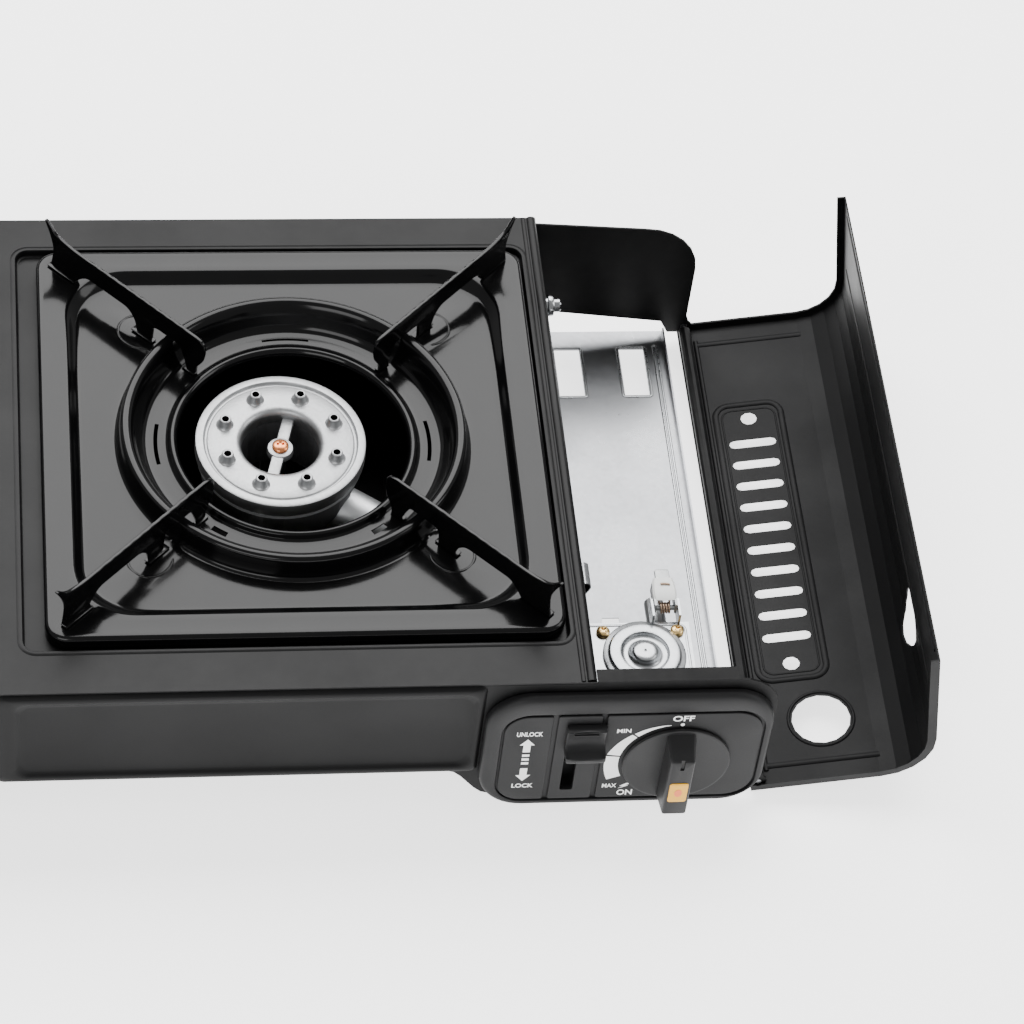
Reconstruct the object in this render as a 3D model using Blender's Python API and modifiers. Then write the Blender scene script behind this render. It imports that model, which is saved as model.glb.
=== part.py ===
"""Twin-burner camping stove for two gas cartridges, as a real assembly of separate pieces.

Metres, +X right, +Y back, +Z up. The middle of the deck is at X = 0. Each half holds a burner under
a lift-off drip pan, and outside it a cartridge bay whose lid swings outward on a rod. The right half
is modelled, and the left half is its mirror image. The lids stand open at rest.
"""

import math

import bmesh
import bpy
from mathutils import Matrix, Vector

# ---- body ----
BODY_HALF = 0.3425  # centre plane to the outer side of a cartridge bay
DEPTH = 0.276  # front wall to back wall, outside
DECK_HALF = 0.260  # centre plane to the side edge of the deck
DECK_Z = 0.088  # top face of the deck
SHEET = 0.001  # steel sheet of the body, the deck and the lids
GAP = 0.0003  # between neighbours that touch
FLOOR_Z = 0.006  # underside of the floor
APRON_Z = 0.024  # lower edge of the front and back walls between the control boxes
CHAMFER_RUN = 0.016  # how far the floor's sloping edge runs in from a wall
BACK_CORNER = 0.028  # round top corner of the back wall
BACK_BAY_Z = (0.0842, 0.080)  # top of the back wall behind a bay, at the deck and at the side
FRONT_CORNER = 0.020  # round top corner of the front wall
BOX_START_X = 0.199  # where the front wall's lower edge begins to drop to the control box
FRONT_STRIP = 0.007  # depth of the flange in front of a bay
FOOT_RADIUS = 0.008
FOOT_X = 0.235
FOOT_Y = 0.100

# ---- deck and its recess for the drip pan ----
RECESS_MIDDLE = (0.132, 0.0015)
RECESS_HALF_X = 0.119
RECESS_HALF_Y = 0.117
RECESS_CORNER = 0.006
RECESS_DROP = 0.0035
WELL_HALF = 0.102  # half the side of the opening inside the recess
WELL_CORNER = 0.012
SKIRT_BOTTOM = 0.010

# ---- drip pan ----
PAN_HALF = 0.1135
PAN_PLAY_X = 0.006  # how far the pan lies off the burner's axis, within the recess
PAN_PLAY_Y = 0.004
PAN_SHEET = 0.0008
PAN_RIM_Z = 0.092
PAN_RIM_WIDTH = 0.0135
PAN_STEP_WIDTH = 0.0055
PAN_STEP_DROP = 0.0045
PAN_CORNER = 0.010
PAN_STEP_CORNER = 0.030
RIDGE_RADIUS = 0.078
RIDGE_WIDTH = 0.005
RIDGE_RISE = 0.0075  # crest above the rim
LEDGE_RADIUS = 0.066
LEDGE_DROP = 0.0055  # ledge below the rim
LIP_RADIUS = 0.055
LIP_RISE = 0.003
HOLE_RADIUS = 0.052
PAN_SIDES = 32

# ---- trivet blades ----
BLADE_SHEET = 0.0016
BLADE_TOP_Z = 0.111
BLADE_TIP_Z = 0.119
BLADE_INNER = 0.054  # from the pan's middle
BLADE_OUTER = 0.154
BLADE_BAR = 0.012  # height of the bar over the arches

# ---- burner ----
BURNER_X = 0.130
BURNER_Y = -0.003
HEAD_RADIUS = 0.0385
HEAD_TOP_Z = 0.093
HEAD_HEIGHT = 0.009
HEAD_RIM = 0.004
THROAT_RADIUS = 0.01775
NOZZLES = 8
NOZZLE_CIRCLE = 0.0265
NOZZLE_HEIGHT = 0.0035
NOZZLE_FOOT = 0.0028
NOZZLE_TIP = 0.0019
BAR_ANGLE = math.radians(-15)
BAR_WIDTH = 0.0055
BAR_HEIGHT = 0.003
HUB_RADIUS = 0.006
CUP_TOP_RADIUS = 0.037
CUP_FOOT_RADIUS = 0.031
CUP_HEIGHT = 0.026
CUP_WALL = 0.0015
LEG_WIDTH = 0.012
SCREW_HEAD = 0.0038
SCREW_SHANK = 0.0018

# ---- gas feed ----
TUBE_RADIUS = 0.011
TUBE_WALL = 0.0012
TUBE_START_Z = 0.069  # axis height over the burner's own axis
TUBE_END = 0.133  # plan distance of the tube's mouth from the burner's axis
JET_SEAT_Z = 0.035  # the same axis over the middle of the regulator
JET_RADIUS = 0.0032
JET_NECK = 0.0028
JET_COLLAR = 0.0058

# ---- cartridge tray ----
TRAY_OUTER_X = 0.332
TRAY_SHEET = 0.0008
TRAY_Z = 0.0062
TRAY_FLANGE = 0.004
WINDOW_Y = (0.095, 0.125)
WINDOW_X = ((0.276, 0.2885), (0.3083, 0.3205))
LUG_WINDOW_X = (0.2815, 0.2895)
LUG_WINDOW_Y = (-0.0475, -0.0415)

# ---- regulator ----
AXIS_X = 0.300  # of the cartridge, the valve stem and the knob
CAN_X = 0.291
CAN_Y = -0.093
CAN_RADIUS = 0.0195
CAN_NECK = 0.0150  # through the mounting plate
CAN_LOW_Z = 0.029
INLET_Z = 0.0395
INLET_RADIUS = 0.0045
INLET_END_Y = -0.058
MOUNT_Z = 0.0445  # underside of the regulator's mounting plate
MOUNT_SHEET = 0.0012
MOUNT_X = (0.2635, 0.3135)
MOUNT_Y = (-0.127, -0.074)
CAP_RADIUS = 0.0165
CAP_HEIGHT = 0.0025
DISH_RADIUS = 0.0105
DOME_RADIUS = 0.006
DOME_HEIGHT = 0.0012  # above the ring around the dish
MOUNT_SCREWS = ((0.3075, -0.0795), (0.2735, -0.0795))
MOUNT_SCREW_HEAD = 0.0031

# ---- cartridge retainer ----
RETAINER_X = 0.3025
RETAINER_Y = -0.0695
RETAINER_Z = 0.0505
RETAINER_PIN = 0.0012
RETAINER_WIDTH = 0.0105
RETAINER_TAB = 0.0066
RETAINER_LENGTH = 0.0185
RETAINER_SHEET = 0.001
SPRING_RADIUS = 0.0028
SPRING_WIRE = 0.0009

# ---- lid ----
HINGE_X = 0.342
HINGE_Z = 0.010
ROD_RADIUS = 0.0015
CURL_WALL = 0.0012
EAR_RADIUS = 0.004  # of the wall around the rod's end
EAR_GAP = 0.0006
LID_SIDE = 0.080  # rod's axis to the inside of the closed lid's top
LID_REACH = 0.0835  # inside of the side to the rim
LID_CORNER = 0.024
LID_LIP = 0.0035
LID_END_GAP = 0.0006
LID_OPEN = math.radians(81.3)
VENT_SLOTS = 10
VENT_PITCH = 0.0131
VENT_LENGTH = 0.023
VENT_WIDTH = 0.0052
VENT_HEIGHT = 0.0245  # row's middle from the rod's axis
VENT_MIDDLE_Y = 0.003
VENT_HOLE_RADIUS = 0.004
VENT_HOLE_PITCH = 0.0155
GRIP_HOLE_RADIUS = 0.0135
GRIP_HOLE_Y = -0.1045
GRIP_HOLE_HEIGHT = 0.0336
TOP_HOLE_Y = -0.071
TOP_HOLE_INSET = 0.025  # from the closed lid's outer corner

# ---- control panel ----
PANEL_X = (0.213, 0.341)
BOX_END_X = 0.219  # where the front wall's lower edge has reached the bottom of the control box
PANEL_Z = (0.007, 0.082)
PANEL_CORNER = 0.020
PANEL_EDGE = 0.003
PANEL_WALL = 0.0022
PANEL_DEPTH = 0.0065  # at the knob's height, in front of the wall
PANEL_LEAN = math.radians(2)
KNOB_Z = 0.037
KNOB_RADIUS = 0.0242
KNOB_DISC = 0.0015
KNOB_CLEARANCE = 0.0006
GRIP_WIDTH = 0.013
GRIP_HEIGHT = 0.046
GRIP_RISE = 0.0115
STEM_RADIUS = 0.003
STEM_CLEARANCE = 0.0006
STEM_SEAT = 0.006  # how far the stem goes into its bores
LEVER_X = 0.2525
LEVER_WIDTH = 0.0055
LEVER_HEIGHT = 0.006
LEVER_Z = 0.056  # middle of the lever's arm at rest
LEVER_TRAVEL = 0.022
LEVER_CLEARANCE = 0.0008
LEVER_INSIDE = 0.016  # how far the arm reaches behind the wall
TAB_X = (0.2485, 0.2665)
TAB_HEIGHT = 0.018
TAB_RISE = 0.008

# ---- spark igniter and its lead ----
IGNITER_X = (0.2640, 0.2780)
IGNITER_Z = (0.0140, 0.0400)
IGNITER_DEPTH = 0.016
ELECTRODE_X = 0.1160
ELECTRODE_Y = -0.0425
ELECTRODE_RADIUS = 0.0025
ELECTRODE_Z = (0.056, 0.076)
LEAD_RADIUS = 0.001
LEAD_ROUTE = (
    (0.2635, -0.1250, 0.0200),
    (0.2570, -0.1250, 0.0200),
    (0.2440, -0.1230, 0.0180),
    (0.2250, -0.1120, 0.0130),
    (0.2000, -0.0980, 0.0100),
    (0.1750, -0.0850, 0.0095),
    (0.1520, -0.0720, 0.0110),
    (0.1330, -0.0600, 0.0180),
    (0.1210, -0.0500, 0.0320),
    (0.1165, -0.0440, 0.0450),
    (0.1160, -0.0425, 0.0530),
)

COLOURS = {  # base colour, metallic, roughness
    "body_paint": ((0.045, 0.045, 0.047), 0.0, 0.55),
    "enamel": ((0.008, 0.008, 0.009), 0.0, 0.12),
    "cast_aluminium": ((0.72, 0.73, 0.74), 1.0, 0.38),
    "cast_iron": ((0.055, 0.055, 0.058), 0.3, 0.50),
    "zinc_steel": ((0.62, 0.65, 0.66), 1.0, 0.35),
    "spring_steel": ((0.30, 0.24, 0.20), 1.0, 0.35),
    "brass": ((0.72, 0.50, 0.20), 1.0, 0.30),
    "copper": ((0.80, 0.42, 0.26), 1.0, 0.28),
    "ceramic": ((0.85, 0.84, 0.80), 0.0, 0.35),
    "black_plastic": ((0.035, 0.035, 0.037), 0.0, 0.50),
    "rubber": ((0.020, 0.020, 0.020), 0.0, 0.80),
    "lead_sleeve": ((0.55, 0.60, 0.16), 0.0, 0.50),
}

# ---- sizes that follow from those above ----
FRONT_Y = -DEPTH / 2
BACK_Y = DEPTH / 2
WALL_TOP_Z = DECK_Z - SHEET - GAP
CHANNEL_HALF = DECK_HALF - SHEET - GAP
PAN_X = BURNER_X + PAN_PLAY_X
PAN_Y = BURNER_Y + PAN_PLAY_Y
PAN_FLOOR_Z = PAN_RIM_Z - PAN_STEP_DROP
PAN_LEDGE_Z = PAN_RIM_Z - LEDGE_DROP
PAN_CREST_Z = PAN_RIM_Z + RIDGE_RISE
CUP_TOP_Z = HEAD_TOP_Z - HEAD_HEIGHT - GAP
LID_INNER_X = EAR_RADIUS + EAR_GAP  # inside of the closed lid's side, from the rod's axis
LID_END_Y = DEPTH / 2 + LID_END_GAP  # inside of the lid's end lips
PANEL_FACE_Y = FRONT_Y - GAP - PANEL_DEPTH
KNOB_FRONT_Y = PANEL_FACE_Y - (KNOB_CLEARANCE + KNOB_DISC + GRIP_RISE) * math.cos(PANEL_LEAN)
KNOB_FRONT_Y -= (GRIP_HEIGHT / 2 - 0.001) * math.sin(PANEL_LEAN)
MIDDLE_Y = (KNOB_FRONT_Y + LID_END_Y + SHEET) / 2  # of everything, which the model's origin is under
LEFT = Matrix.Scale(-1, 4, (1, 0, 0))


# ---- modelling helpers ----


def clear_scene():
    for obj in list(bpy.data.objects):
        bpy.data.objects.remove(obj)


def new_collection(name):
    collection = bpy.data.collections.new(name)
    bpy.context.scene.collection.children.link(collection)
    return collection


def new_empty(name, parent=None, location=(0, 0, 0), rotation=(0, 0, 0)):
    empty = bpy.data.objects.new(name, None)
    empty.location = location
    empty.rotation_euler = rotation
    empty.parent = parent
    stove_parts.objects.link(empty)
    return empty


def new_material(name):
    colour, metallic, roughness = COLOURS[name]
    material = bpy.data.materials.new(name)
    material.use_nodes = True
    shader = material.node_tree.nodes["Principled BSDF"]
    shader.inputs["Base Color"].default_value = (*colour, 1.0)
    shader.inputs["Metallic"].default_value = metallic
    shader.inputs["Roughness"].default_value = roughness
    material.diffuse_color = (*colour, 1.0)
    return material


def place(name, mesh, parent):
    obj = bpy.data.objects.new(name, mesh)
    obj.parent = parent
    stove_parts.objects.link(obj)
    return obj


def place_bmesh(name, bm, parent):
    mesh = bpy.data.meshes.new(name)
    bm.to_mesh(mesh)
    bm.free()
    return place(name, mesh, parent)


def box(name, low, high, parent=None):
    """A box between two corners."""
    low, high = Vector(low), Vector(high)
    bm = bmesh.new()
    bmesh.ops.create_cube(bm, size=1.0)
    matrix = Matrix.LocRotScale((low + high) / 2, None, high - low)
    bmesh.ops.transform(bm, matrix=matrix, verts=bm.verts)
    return place_bmesh(name, bm, parent or stove)


def rod(name, start, end, radius, sides, parent=None, end_radius=None):
    """A cylinder between two points, or a cone where end_radius is given."""
    start, end = Vector(start), Vector(end)
    along = end - start
    bm = bmesh.new()
    bmesh.ops.create_cone(
        bm,
        cap_ends=True,
        segments=sides,
        radius1=radius,
        radius2=radius if end_radius is None else end_radius,
        depth=along.length,
    )
    turn = along.to_track_quat("Z", "Y").to_matrix().to_4x4()
    matrix = Matrix.Translation((start + end) / 2) @ turn
    bmesh.ops.transform(bm, matrix=matrix, verts=bm.verts)
    return place_bmesh(name, bm, parent or stove)


def turned(name, profile, sides, parent=None, closed=False):
    """A turned piece: the profile's (radius, height) points run down its outer side."""
    points = [(radius, 0, height) for radius, height in profile]
    edges = [(i, i + 1) for i in range(len(points) - 1)]
    if closed:
        edges.append((len(points) - 1, 0))
    mesh = bpy.data.meshes.new(name)
    mesh.from_pydata(points, edges, [])
    obj = place(name, mesh, parent or stove)
    screw = obj.modifiers.new("turn", "SCREW")
    screw.steps = screw.render_steps = sides
    screw.use_merge_vertices = True
    screw.merge_threshold = 0.00001
    return obj


def flat_piece(name, outlines, thickness, matrix, parent=None):
    """A flat sheet cut to the first outline, with the others as holes. The matrix stands it in place."""
    curve = bpy.data.curves.new(name, "CURVE")
    curve.dimensions = "2D"
    curve.fill_mode = "BOTH"
    curve.extrude = thickness / 2
    for outline in outlines:
        spline = curve.splines.new("POLY")
        spline.points.add(len(outline) - 1)
        spline.use_cyclic_u = True
        for point, (x, y) in zip(spline.points, outline):
            point.co = (x, y, 0, 1)
    return as_mesh(place(name, curve, None), name, matrix, parent or stove)


def as_mesh(source, name, matrix, parent):
    """Replaces a curve object by its welded mesh, turned by the matrix."""
    graph = bpy.context.evaluated_depsgraph_get()
    mesh = bpy.data.meshes.new_from_object(source.evaluated_get(graph))
    bm = bmesh.new()
    bm.from_mesh(mesh)
    bmesh.ops.remove_doubles(bm, verts=bm.verts, dist=0.000001)
    bmesh.ops.transform(bm, matrix=matrix, verts=bm.verts)
    bpy.data.objects.remove(source)
    bpy.data.meshes.remove(mesh)
    return place_bmesh(name, bm, parent)


def standing(y):
    """Turns a flat piece drawn in (x, z) to stand across the stove at this y."""
    return Matrix.Translation((0, y, 0)) @ Matrix.Rotation(math.pi / 2, 4, "X")


def lying(z):
    return Matrix.Translation((0, 0, z))


def loft(name, rows, parent=None, closed=True, caps=False):
    """A skin over rows of equally many points. A closed row is a ring."""
    bm = bmesh.new()
    grid = [[bm.verts.new(point) for point in row] for row in rows]
    count = len(rows[0])
    for near, far in zip(grid, grid[1:]):
        for i in range(count if closed else count - 1):
            j = (i + 1) % count
            bm.faces.new((near[i], near[j], far[j], far[i]))
    if caps:
        bm.faces.new(grid[0][::-1])
        bm.faces.new(grid[-1])
    return place_bmesh(name, bm, parent or stove)


def thicken(obj, thickness, offset=-1):
    solidify = obj.modifiers.new("sheet", "SOLIDIFY")
    solidify.thickness = thickness
    solidify.offset = offset
    return obj


def use_tool(tool):
    stove_parts.objects.unlink(tool)
    stove_tools.objects.link(tool)
    tool.hide_render = True
    tool.display_type = "WIRE"


def combine(obj, tool, operation):
    use_tool(tool)
    boolean = obj.modifiers.new(operation.lower(), "BOOLEAN")
    boolean.operation = operation
    boolean.solver = "EXACT"
    boolean.object = tool
    return obj


def cut(obj, *tools):
    for tool in tools:
        combine(obj, tool, "DIFFERENCE")
    return obj


def join(obj, *tools):
    for tool in tools:
        combine(obj, tool, "UNION")
    return obj


def finish(obj, material, smooth=True):
    obj.data.materials.append(materials[material])
    if smooth and obj.type == "MESH":
        obj.data.shade_smooth()
        if obj.data.polygons:
            obj.data.set_sharp_from_angle(angle=math.radians(35))
    return obj


def mirror_across(obj):
    """Makes the whole of a shared piece out of its right half."""
    mirror = obj.modifiers.new("left half", "MIRROR")
    mirror.use_bisect_axis[0] = True
    mirror.bisect_threshold = 0.00001
    mirror.merge_threshold = 0.00001
    mirror.mirror_object = stove
    return obj


def mirrored_copy(source, name):
    """The left-hand twin of a right-hand piece, as a mesh with its origin mirrored too."""
    graph = bpy.context.evaluated_depsgraph_get()
    mesh = bpy.data.meshes.new_from_object(source.evaluated_get(graph), depsgraph=graph)
    origin = LEFT @ source.matrix_world.translation
    mesh.transform(Matrix.Translation(-origin) @ LEFT @ source.matrix_world)
    mesh.flip_normals()
    bm = bmesh.new()
    bm.from_mesh(mesh)
    bmesh.ops.remove_doubles(bm, verts=bm.verts, dist=0.000001)
    bm.to_mesh(mesh)
    bm.free()
    twin = bpy.data.objects.new(name, mesh)
    twin.location = origin
    stove_parts.objects.link(twin)
    return twin


# ---- outlines ----


def arc(x, y, radius, first, last, steps):
    """Points along an arc, in degrees from +x."""
    turns = [math.radians(first + (last - first) * i / steps) for i in range(steps + 1)]
    return [(x + radius * math.cos(t), y + radius * math.sin(t)) for t in turns]


def rectangle(x_range, y_range):
    (x0, x1), (y0, y1) = x_range, y_range
    return [(x0, y0), (x1, y0), (x1, y1), (x0, y1)]


def round_rectangle(x_range, y_range, corner, steps=4):
    (x0, x1), (y0, y1) = x_range, y_range
    return (
        arc(x1 - corner, y1 - corner, corner, 0, 90, steps)
        + arc(x0 + corner, y1 - corner, corner, 90, 180, steps)
        + arc(x0 + corner, y0 + corner, corner, 180, 270, steps)
        + arc(x1 - corner, y0 + corner, corner, 270, 360, steps)
    )


def about(middle, half_x, half_y):
    """The x and y ranges of a rectangle around its middle."""
    x, y = middle
    return (x - half_x, x + half_x), (y - half_y, y + half_y)


def circle(x, y, radius, sides):
    return arc(x, y, radius, 0, 360 - 360 / sides, sides - 1)


def round_square_ring(half, corner, sides):
    """A round-cornered square, as points evenly spaced in angle about its middle."""
    inset = half - corner
    points = []
    for i in range(sides):
        angle = 2 * math.pi * i / sides
        folded = abs((angle + math.pi / 4) % (math.pi / 2) - math.pi / 4)
        reach = half / math.cos(folded)
        if half * math.tan(folded) > inset:
            along = inset * (math.cos(folded) + math.sin(folded))
            reach = along + math.sqrt(along**2 - 2 * inset**2 + corner**2)
        points.append((reach * math.cos(angle), reach * math.sin(angle)))
    return points


# ---- body and deck ----


def panel_face_y(z):
    """The control panel's face leans back as it rises."""
    return PANEL_FACE_Y + (z - KNOB_Z) * math.tan(PANEL_LEAN)


def stem_z(y):
    """Height of the valve stem's axis, which is square to the leaning panel."""
    return KNOB_Z - (y - PANEL_FACE_Y) * math.tan(PANEL_LEAN)


def wall_outline(top_corner, bay_z, drops):
    """Half of the front or back wall, in (x, z). The front wall drops behind the control box."""
    ear = EAR_RADIUS
    deck_z, side_z = bay_z
    points = [(-0.001, APRON_Z)]
    if drops:
        for i in range(7):
            share = i / 6
            ease = (1 - math.cos(math.pi * share)) / 2
            x = BOX_START_X + (BOX_END_X - BOX_START_X) * share
            points.append((x, APRON_Z - (APRON_Z - HINGE_Z + ear) * ease))
    else:
        points += [(DECK_HALF, APRON_Z), (HINGE_X - 3 * ear, HINGE_Z + ear)]
        points.append((HINGE_X - 2 * ear, HINGE_Z - ear))
    points += arc(HINGE_X, HINGE_Z, ear, -90, 60, 5)
    points.append((BODY_HALF, HINGE_Z + 2 * ear))
    points += arc(BODY_HALF - top_corner, side_z - top_corner, top_corner, 0, 90, 6)
    points += [(DECK_HALF + GAP, deck_z), (DECK_HALF + GAP, WALL_TOP_Z), (-0.001, WALL_TOP_Z)]
    return points


def make_base_shell():
    rod_hole = circle(HINGE_X, HINGE_Z, ROD_RADIUS + GAP, 10)
    stem_hole = circle(AXIS_X, stem_z(FRONT_Y), STEM_RADIUS + 2 * STEM_CLEARANCE, 12)
    slot = lever_slot(2 * LEVER_CLEARANCE)
    front = [wall_outline(FRONT_CORNER, (DECK_Z, DECK_Z), True), rod_hole, stem_hole, slot]
    back = [wall_outline(BACK_CORNER, BACK_BAY_Z, False), rod_hole]
    shell = flat_piece("base_shell", front, SHEET, standing(FRONT_Y + SHEET / 2))
    back_wall = flat_piece("back_wall", back, SHEET, standing(BACK_Y - SHEET / 2))

    fold = 0.4 * SHEET  # the floor's upturned edges lie a little inside the walls
    low, high = APRON_Z + fold, APRON_Z + 3 * SHEET
    side = [(BACK_Y - fold, high), (BACK_Y - fold, low), (BACK_Y - CHAMFER_RUN, FLOOR_Z)]
    profile = [(-y, z) for y, z in side] + side[::-1]
    rows = [[(x, y, z) for y, z in profile] for x in (CHANNEL_HALF, -0.001)]
    floor = thicken(loft("floor", rows, closed=False), SHEET, offset=1)

    strip_low = (DECK_HALF + GAP, FRONT_Y + SHEET / 2, DECK_Z - 1.2 * SHEET)
    strip_high = (BODY_HALF - FRONT_CORNER, FRONT_Y + FRONT_STRIP, DECK_Z - 0.2 * SHEET)
    strip = box("front_strip", strip_low, strip_high)
    join(shell, back_wall, floor, strip)
    return finish(mirror_across(shell), "body_paint")


def make_deck():
    """Sheet with a sunk square recess that the pan stands in, open in the middle, and folded sides."""
    half_depth = DEPTH / 2
    low = (-0.001, -half_depth, DECK_Z - RECESS_DROP - SHEET)
    deck = box("top_plate", low, (DECK_HALF, half_depth, DECK_Z))

    below = (-0.002, -DEPTH, DECK_Z - 4 * RECESS_DROP)
    relief = box("deck_relief", below, (DECK_HALF + SHEET, DEPTH, DECK_Z - SHEET))
    recess = about(RECESS_MIDDLE, RECESS_HALF_X, RECESS_HALF_Y)
    outside = [(low - SHEET, high + SHEET) for low, high in recess]
    island = round_rectangle(*outside, RECESS_CORNER + SHEET)
    relief_core = flat_piece("deck_island", [island], 8 * RECESS_DROP, lying(DECK_Z - 2 * RECESS_DROP))
    cut(relief, relief_core)

    pocket_depth = 4 * RECESS_DROP
    pocket_z = DECK_Z - RECESS_DROP + pocket_depth / 2
    pocket = round_rectangle(*recess, RECESS_CORNER)
    pocket = flat_piece("deck_pocket", [pocket], pocket_depth, lying(pocket_z))
    well = round_rectangle(*about(RECESS_MIDDLE, WELL_HALF, WELL_HALF), WELL_CORNER)
    well = flat_piece("deck_well", [well], 8 * RECESS_DROP, lying(DECK_Z))
    cut(deck, relief, pocket, well)

    reach = half_depth - SHEET - GAP
    fold_low = (DECK_HALF - SHEET, -reach, SKIRT_BOTTOM)
    fold = box("deck_skirt", fold_low, (DECK_HALF, reach, DECK_Z - 0.5 * SHEET))
    join(deck, fold)
    jet_start, jet_end = feed_point(TUBE_END), feed_point(TUBE_END + 4 * JET_COLLAR)
    jet_hole = rod("jet_hole", jet_start, jet_end, JET_COLLAR + 2 * GAP, 12)
    lead_y, lead_z = LEAD_ROUTE[0][1:]
    lead_low, lead_high = (DECK_HALF - 0.005, lead_y, lead_z), (DECK_HALF + 0.005, lead_y, lead_z)
    lead_hole = rod("lead_hole", lead_low, lead_high, 2 * LEAD_RADIUS, 8)
    cut(deck, jet_hole, lead_hole)
    return finish(mirror_across(deck), "body_paint")


def make_feet():
    """Four rubber feet, the right-hand pair here."""
    profile = [(0, FLOOR_Z - GAP), (FOOT_RADIUS, FLOOR_Z - GAP), (0.8 * FOOT_RADIUS, 0), (0, 0)]
    feet = []
    for name, y in (("foot_front", -FOOT_Y), ("foot_back", FOOT_Y)):
        foot = turned(name + "_right", profile, 12)
        foot.location = (FOOT_X, y, 0)
        feet.append(finish(foot, "rubber"))
    return feet


# ---- drip pan and trivet ----


def make_drip_pan(lift):
    rim_inner = PAN_HALF - PAN_RIM_WIDTH
    step_inner = rim_inner - PAN_STEP_WIDTH
    step_corner = PAN_STEP_CORNER - PAN_STEP_WIDTH / 2
    rest_z = DECK_Z - RECESS_DROP + GAP
    edge = 0.0015
    squares = (
        (PAN_HALF, PAN_CORNER, rest_z),
        (PAN_HALF, PAN_CORNER, PAN_RIM_Z - edge),
        (PAN_HALF - edge, PAN_CORNER - edge, PAN_RIM_Z),
        (rim_inner, PAN_STEP_CORNER, PAN_RIM_Z),
        (step_inner, step_corner, PAN_FLOOR_Z),
    )
    circles = (
        (RIDGE_RADIUS + 0.002, PAN_FLOOR_Z),
        (RIDGE_RADIUS, PAN_CREST_Z - 0.0015),
        (RIDGE_RADIUS - 0.0015, PAN_CREST_Z),
        (RIDGE_RADIUS - RIDGE_WIDTH, PAN_CREST_Z),
        (LEDGE_RADIUS, PAN_LEDGE_Z),
        (LIP_RADIUS + 0.002, PAN_LEDGE_Z),
        (LIP_RADIUS, PAN_LEDGE_Z + LIP_RISE),
        (HOLE_RADIUS, PAN_LEDGE_Z),
    )
    rows = []
    for half, corner, z in squares:
        rows.append([(x, y, z) for x, y in round_square_ring(half, corner, PAN_SIDES)])
    for radius, z in circles:
        rows.append([(x, y, z) for x, y in circle(0, 0, radius, PAN_SIDES)])
    pan = thicken(loft("drip_pan_right", rows, lift), PAN_SHEET)
    return finish(pan, "enamel")


def blade_outline():
    """A blade in (distance from the pan's middle, height): a hook, and feet on rim, floor and ledge."""
    rim, floor, ledge = (z + GAP for z in (PAN_RIM_Z, PAN_FLOOR_Z, PAN_LEDGE_Z))
    crest = PAN_CREST_Z + 2 * GAP
    top, arch = BLADE_TOP_Z, BLADE_TOP_Z - BLADE_BAR
    rim_foot = (PAN_HALF - PAN_CORNER) * math.sqrt(2) + PAN_CORNER - 0.006
    floor_foot = RIDGE_RADIUS + 0.008
    ledge_foot = LEDGE_RADIUS - 0.0015
    outer, inner = BLADE_OUTER, BLADE_INNER
    return [
        (outer, BLADE_TIP_Z),
        (outer - 0.0015, BLADE_TIP_Z),
        (outer - 0.009, top + 0.0006),
        (outer - 0.020, top),
        (inner + 0.005, top),
        (inner, top - 0.003),
        (inner + 0.0005, top - 0.010),
        (inner + 0.005, ledge + 0.005),
        (inner + 0.006, ledge),
        (ledge_foot, ledge),
        (ledge_foot + 0.004, crest),
        (RIDGE_RADIUS + 0.002, crest),
        (RIDGE_RADIUS + 0.005, arch),
        (floor_foot + 0.001, arch - 0.005),
        (floor_foot + 0.001, floor),
        (floor_foot + 0.009, floor),
        (floor_foot + 0.013, arch - 0.004),
        (floor_foot + 0.016, arch),
        (rim_foot - 0.022, arch),
        (rim_foot - 0.016, rim),
        (rim_foot - 0.001, rim),
        (rim_foot - 0.002, rim + 0.012),
    ]


def make_blades(lift):
    outline = blade_outline()
    upright = Matrix.Rotation(math.pi / 2, 4, "X")
    names = ("back_outer", "back_inner", "front_inner", "front_outer")
    blades = []
    for i, name in enumerate(names):
        turn = Matrix.Rotation(math.radians(45 + 90 * i), 4, "Z") @ upright
        name = f"trivet_blade_{name}_right"
        blades.append(finish(flat_piece(name, [outline], BLADE_SHEET, turn, lift), "enamel"))
    return blades


# ---- burner and gas feed ----


def feed_point(distance):
    """A point on the gas feed's axis, at this plan distance from the burner's axis."""
    run = math.hypot(CAN_X - BURNER_X, CAN_Y - BURNER_Y)
    drop = (TUBE_START_Z - JET_SEAT_Z) / run
    share = distance / run
    x = BURNER_X + (CAN_X - BURNER_X) * share
    y = BURNER_Y + (CAN_Y - BURNER_Y) * share
    return x, y, TUBE_START_Z - drop * distance


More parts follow.
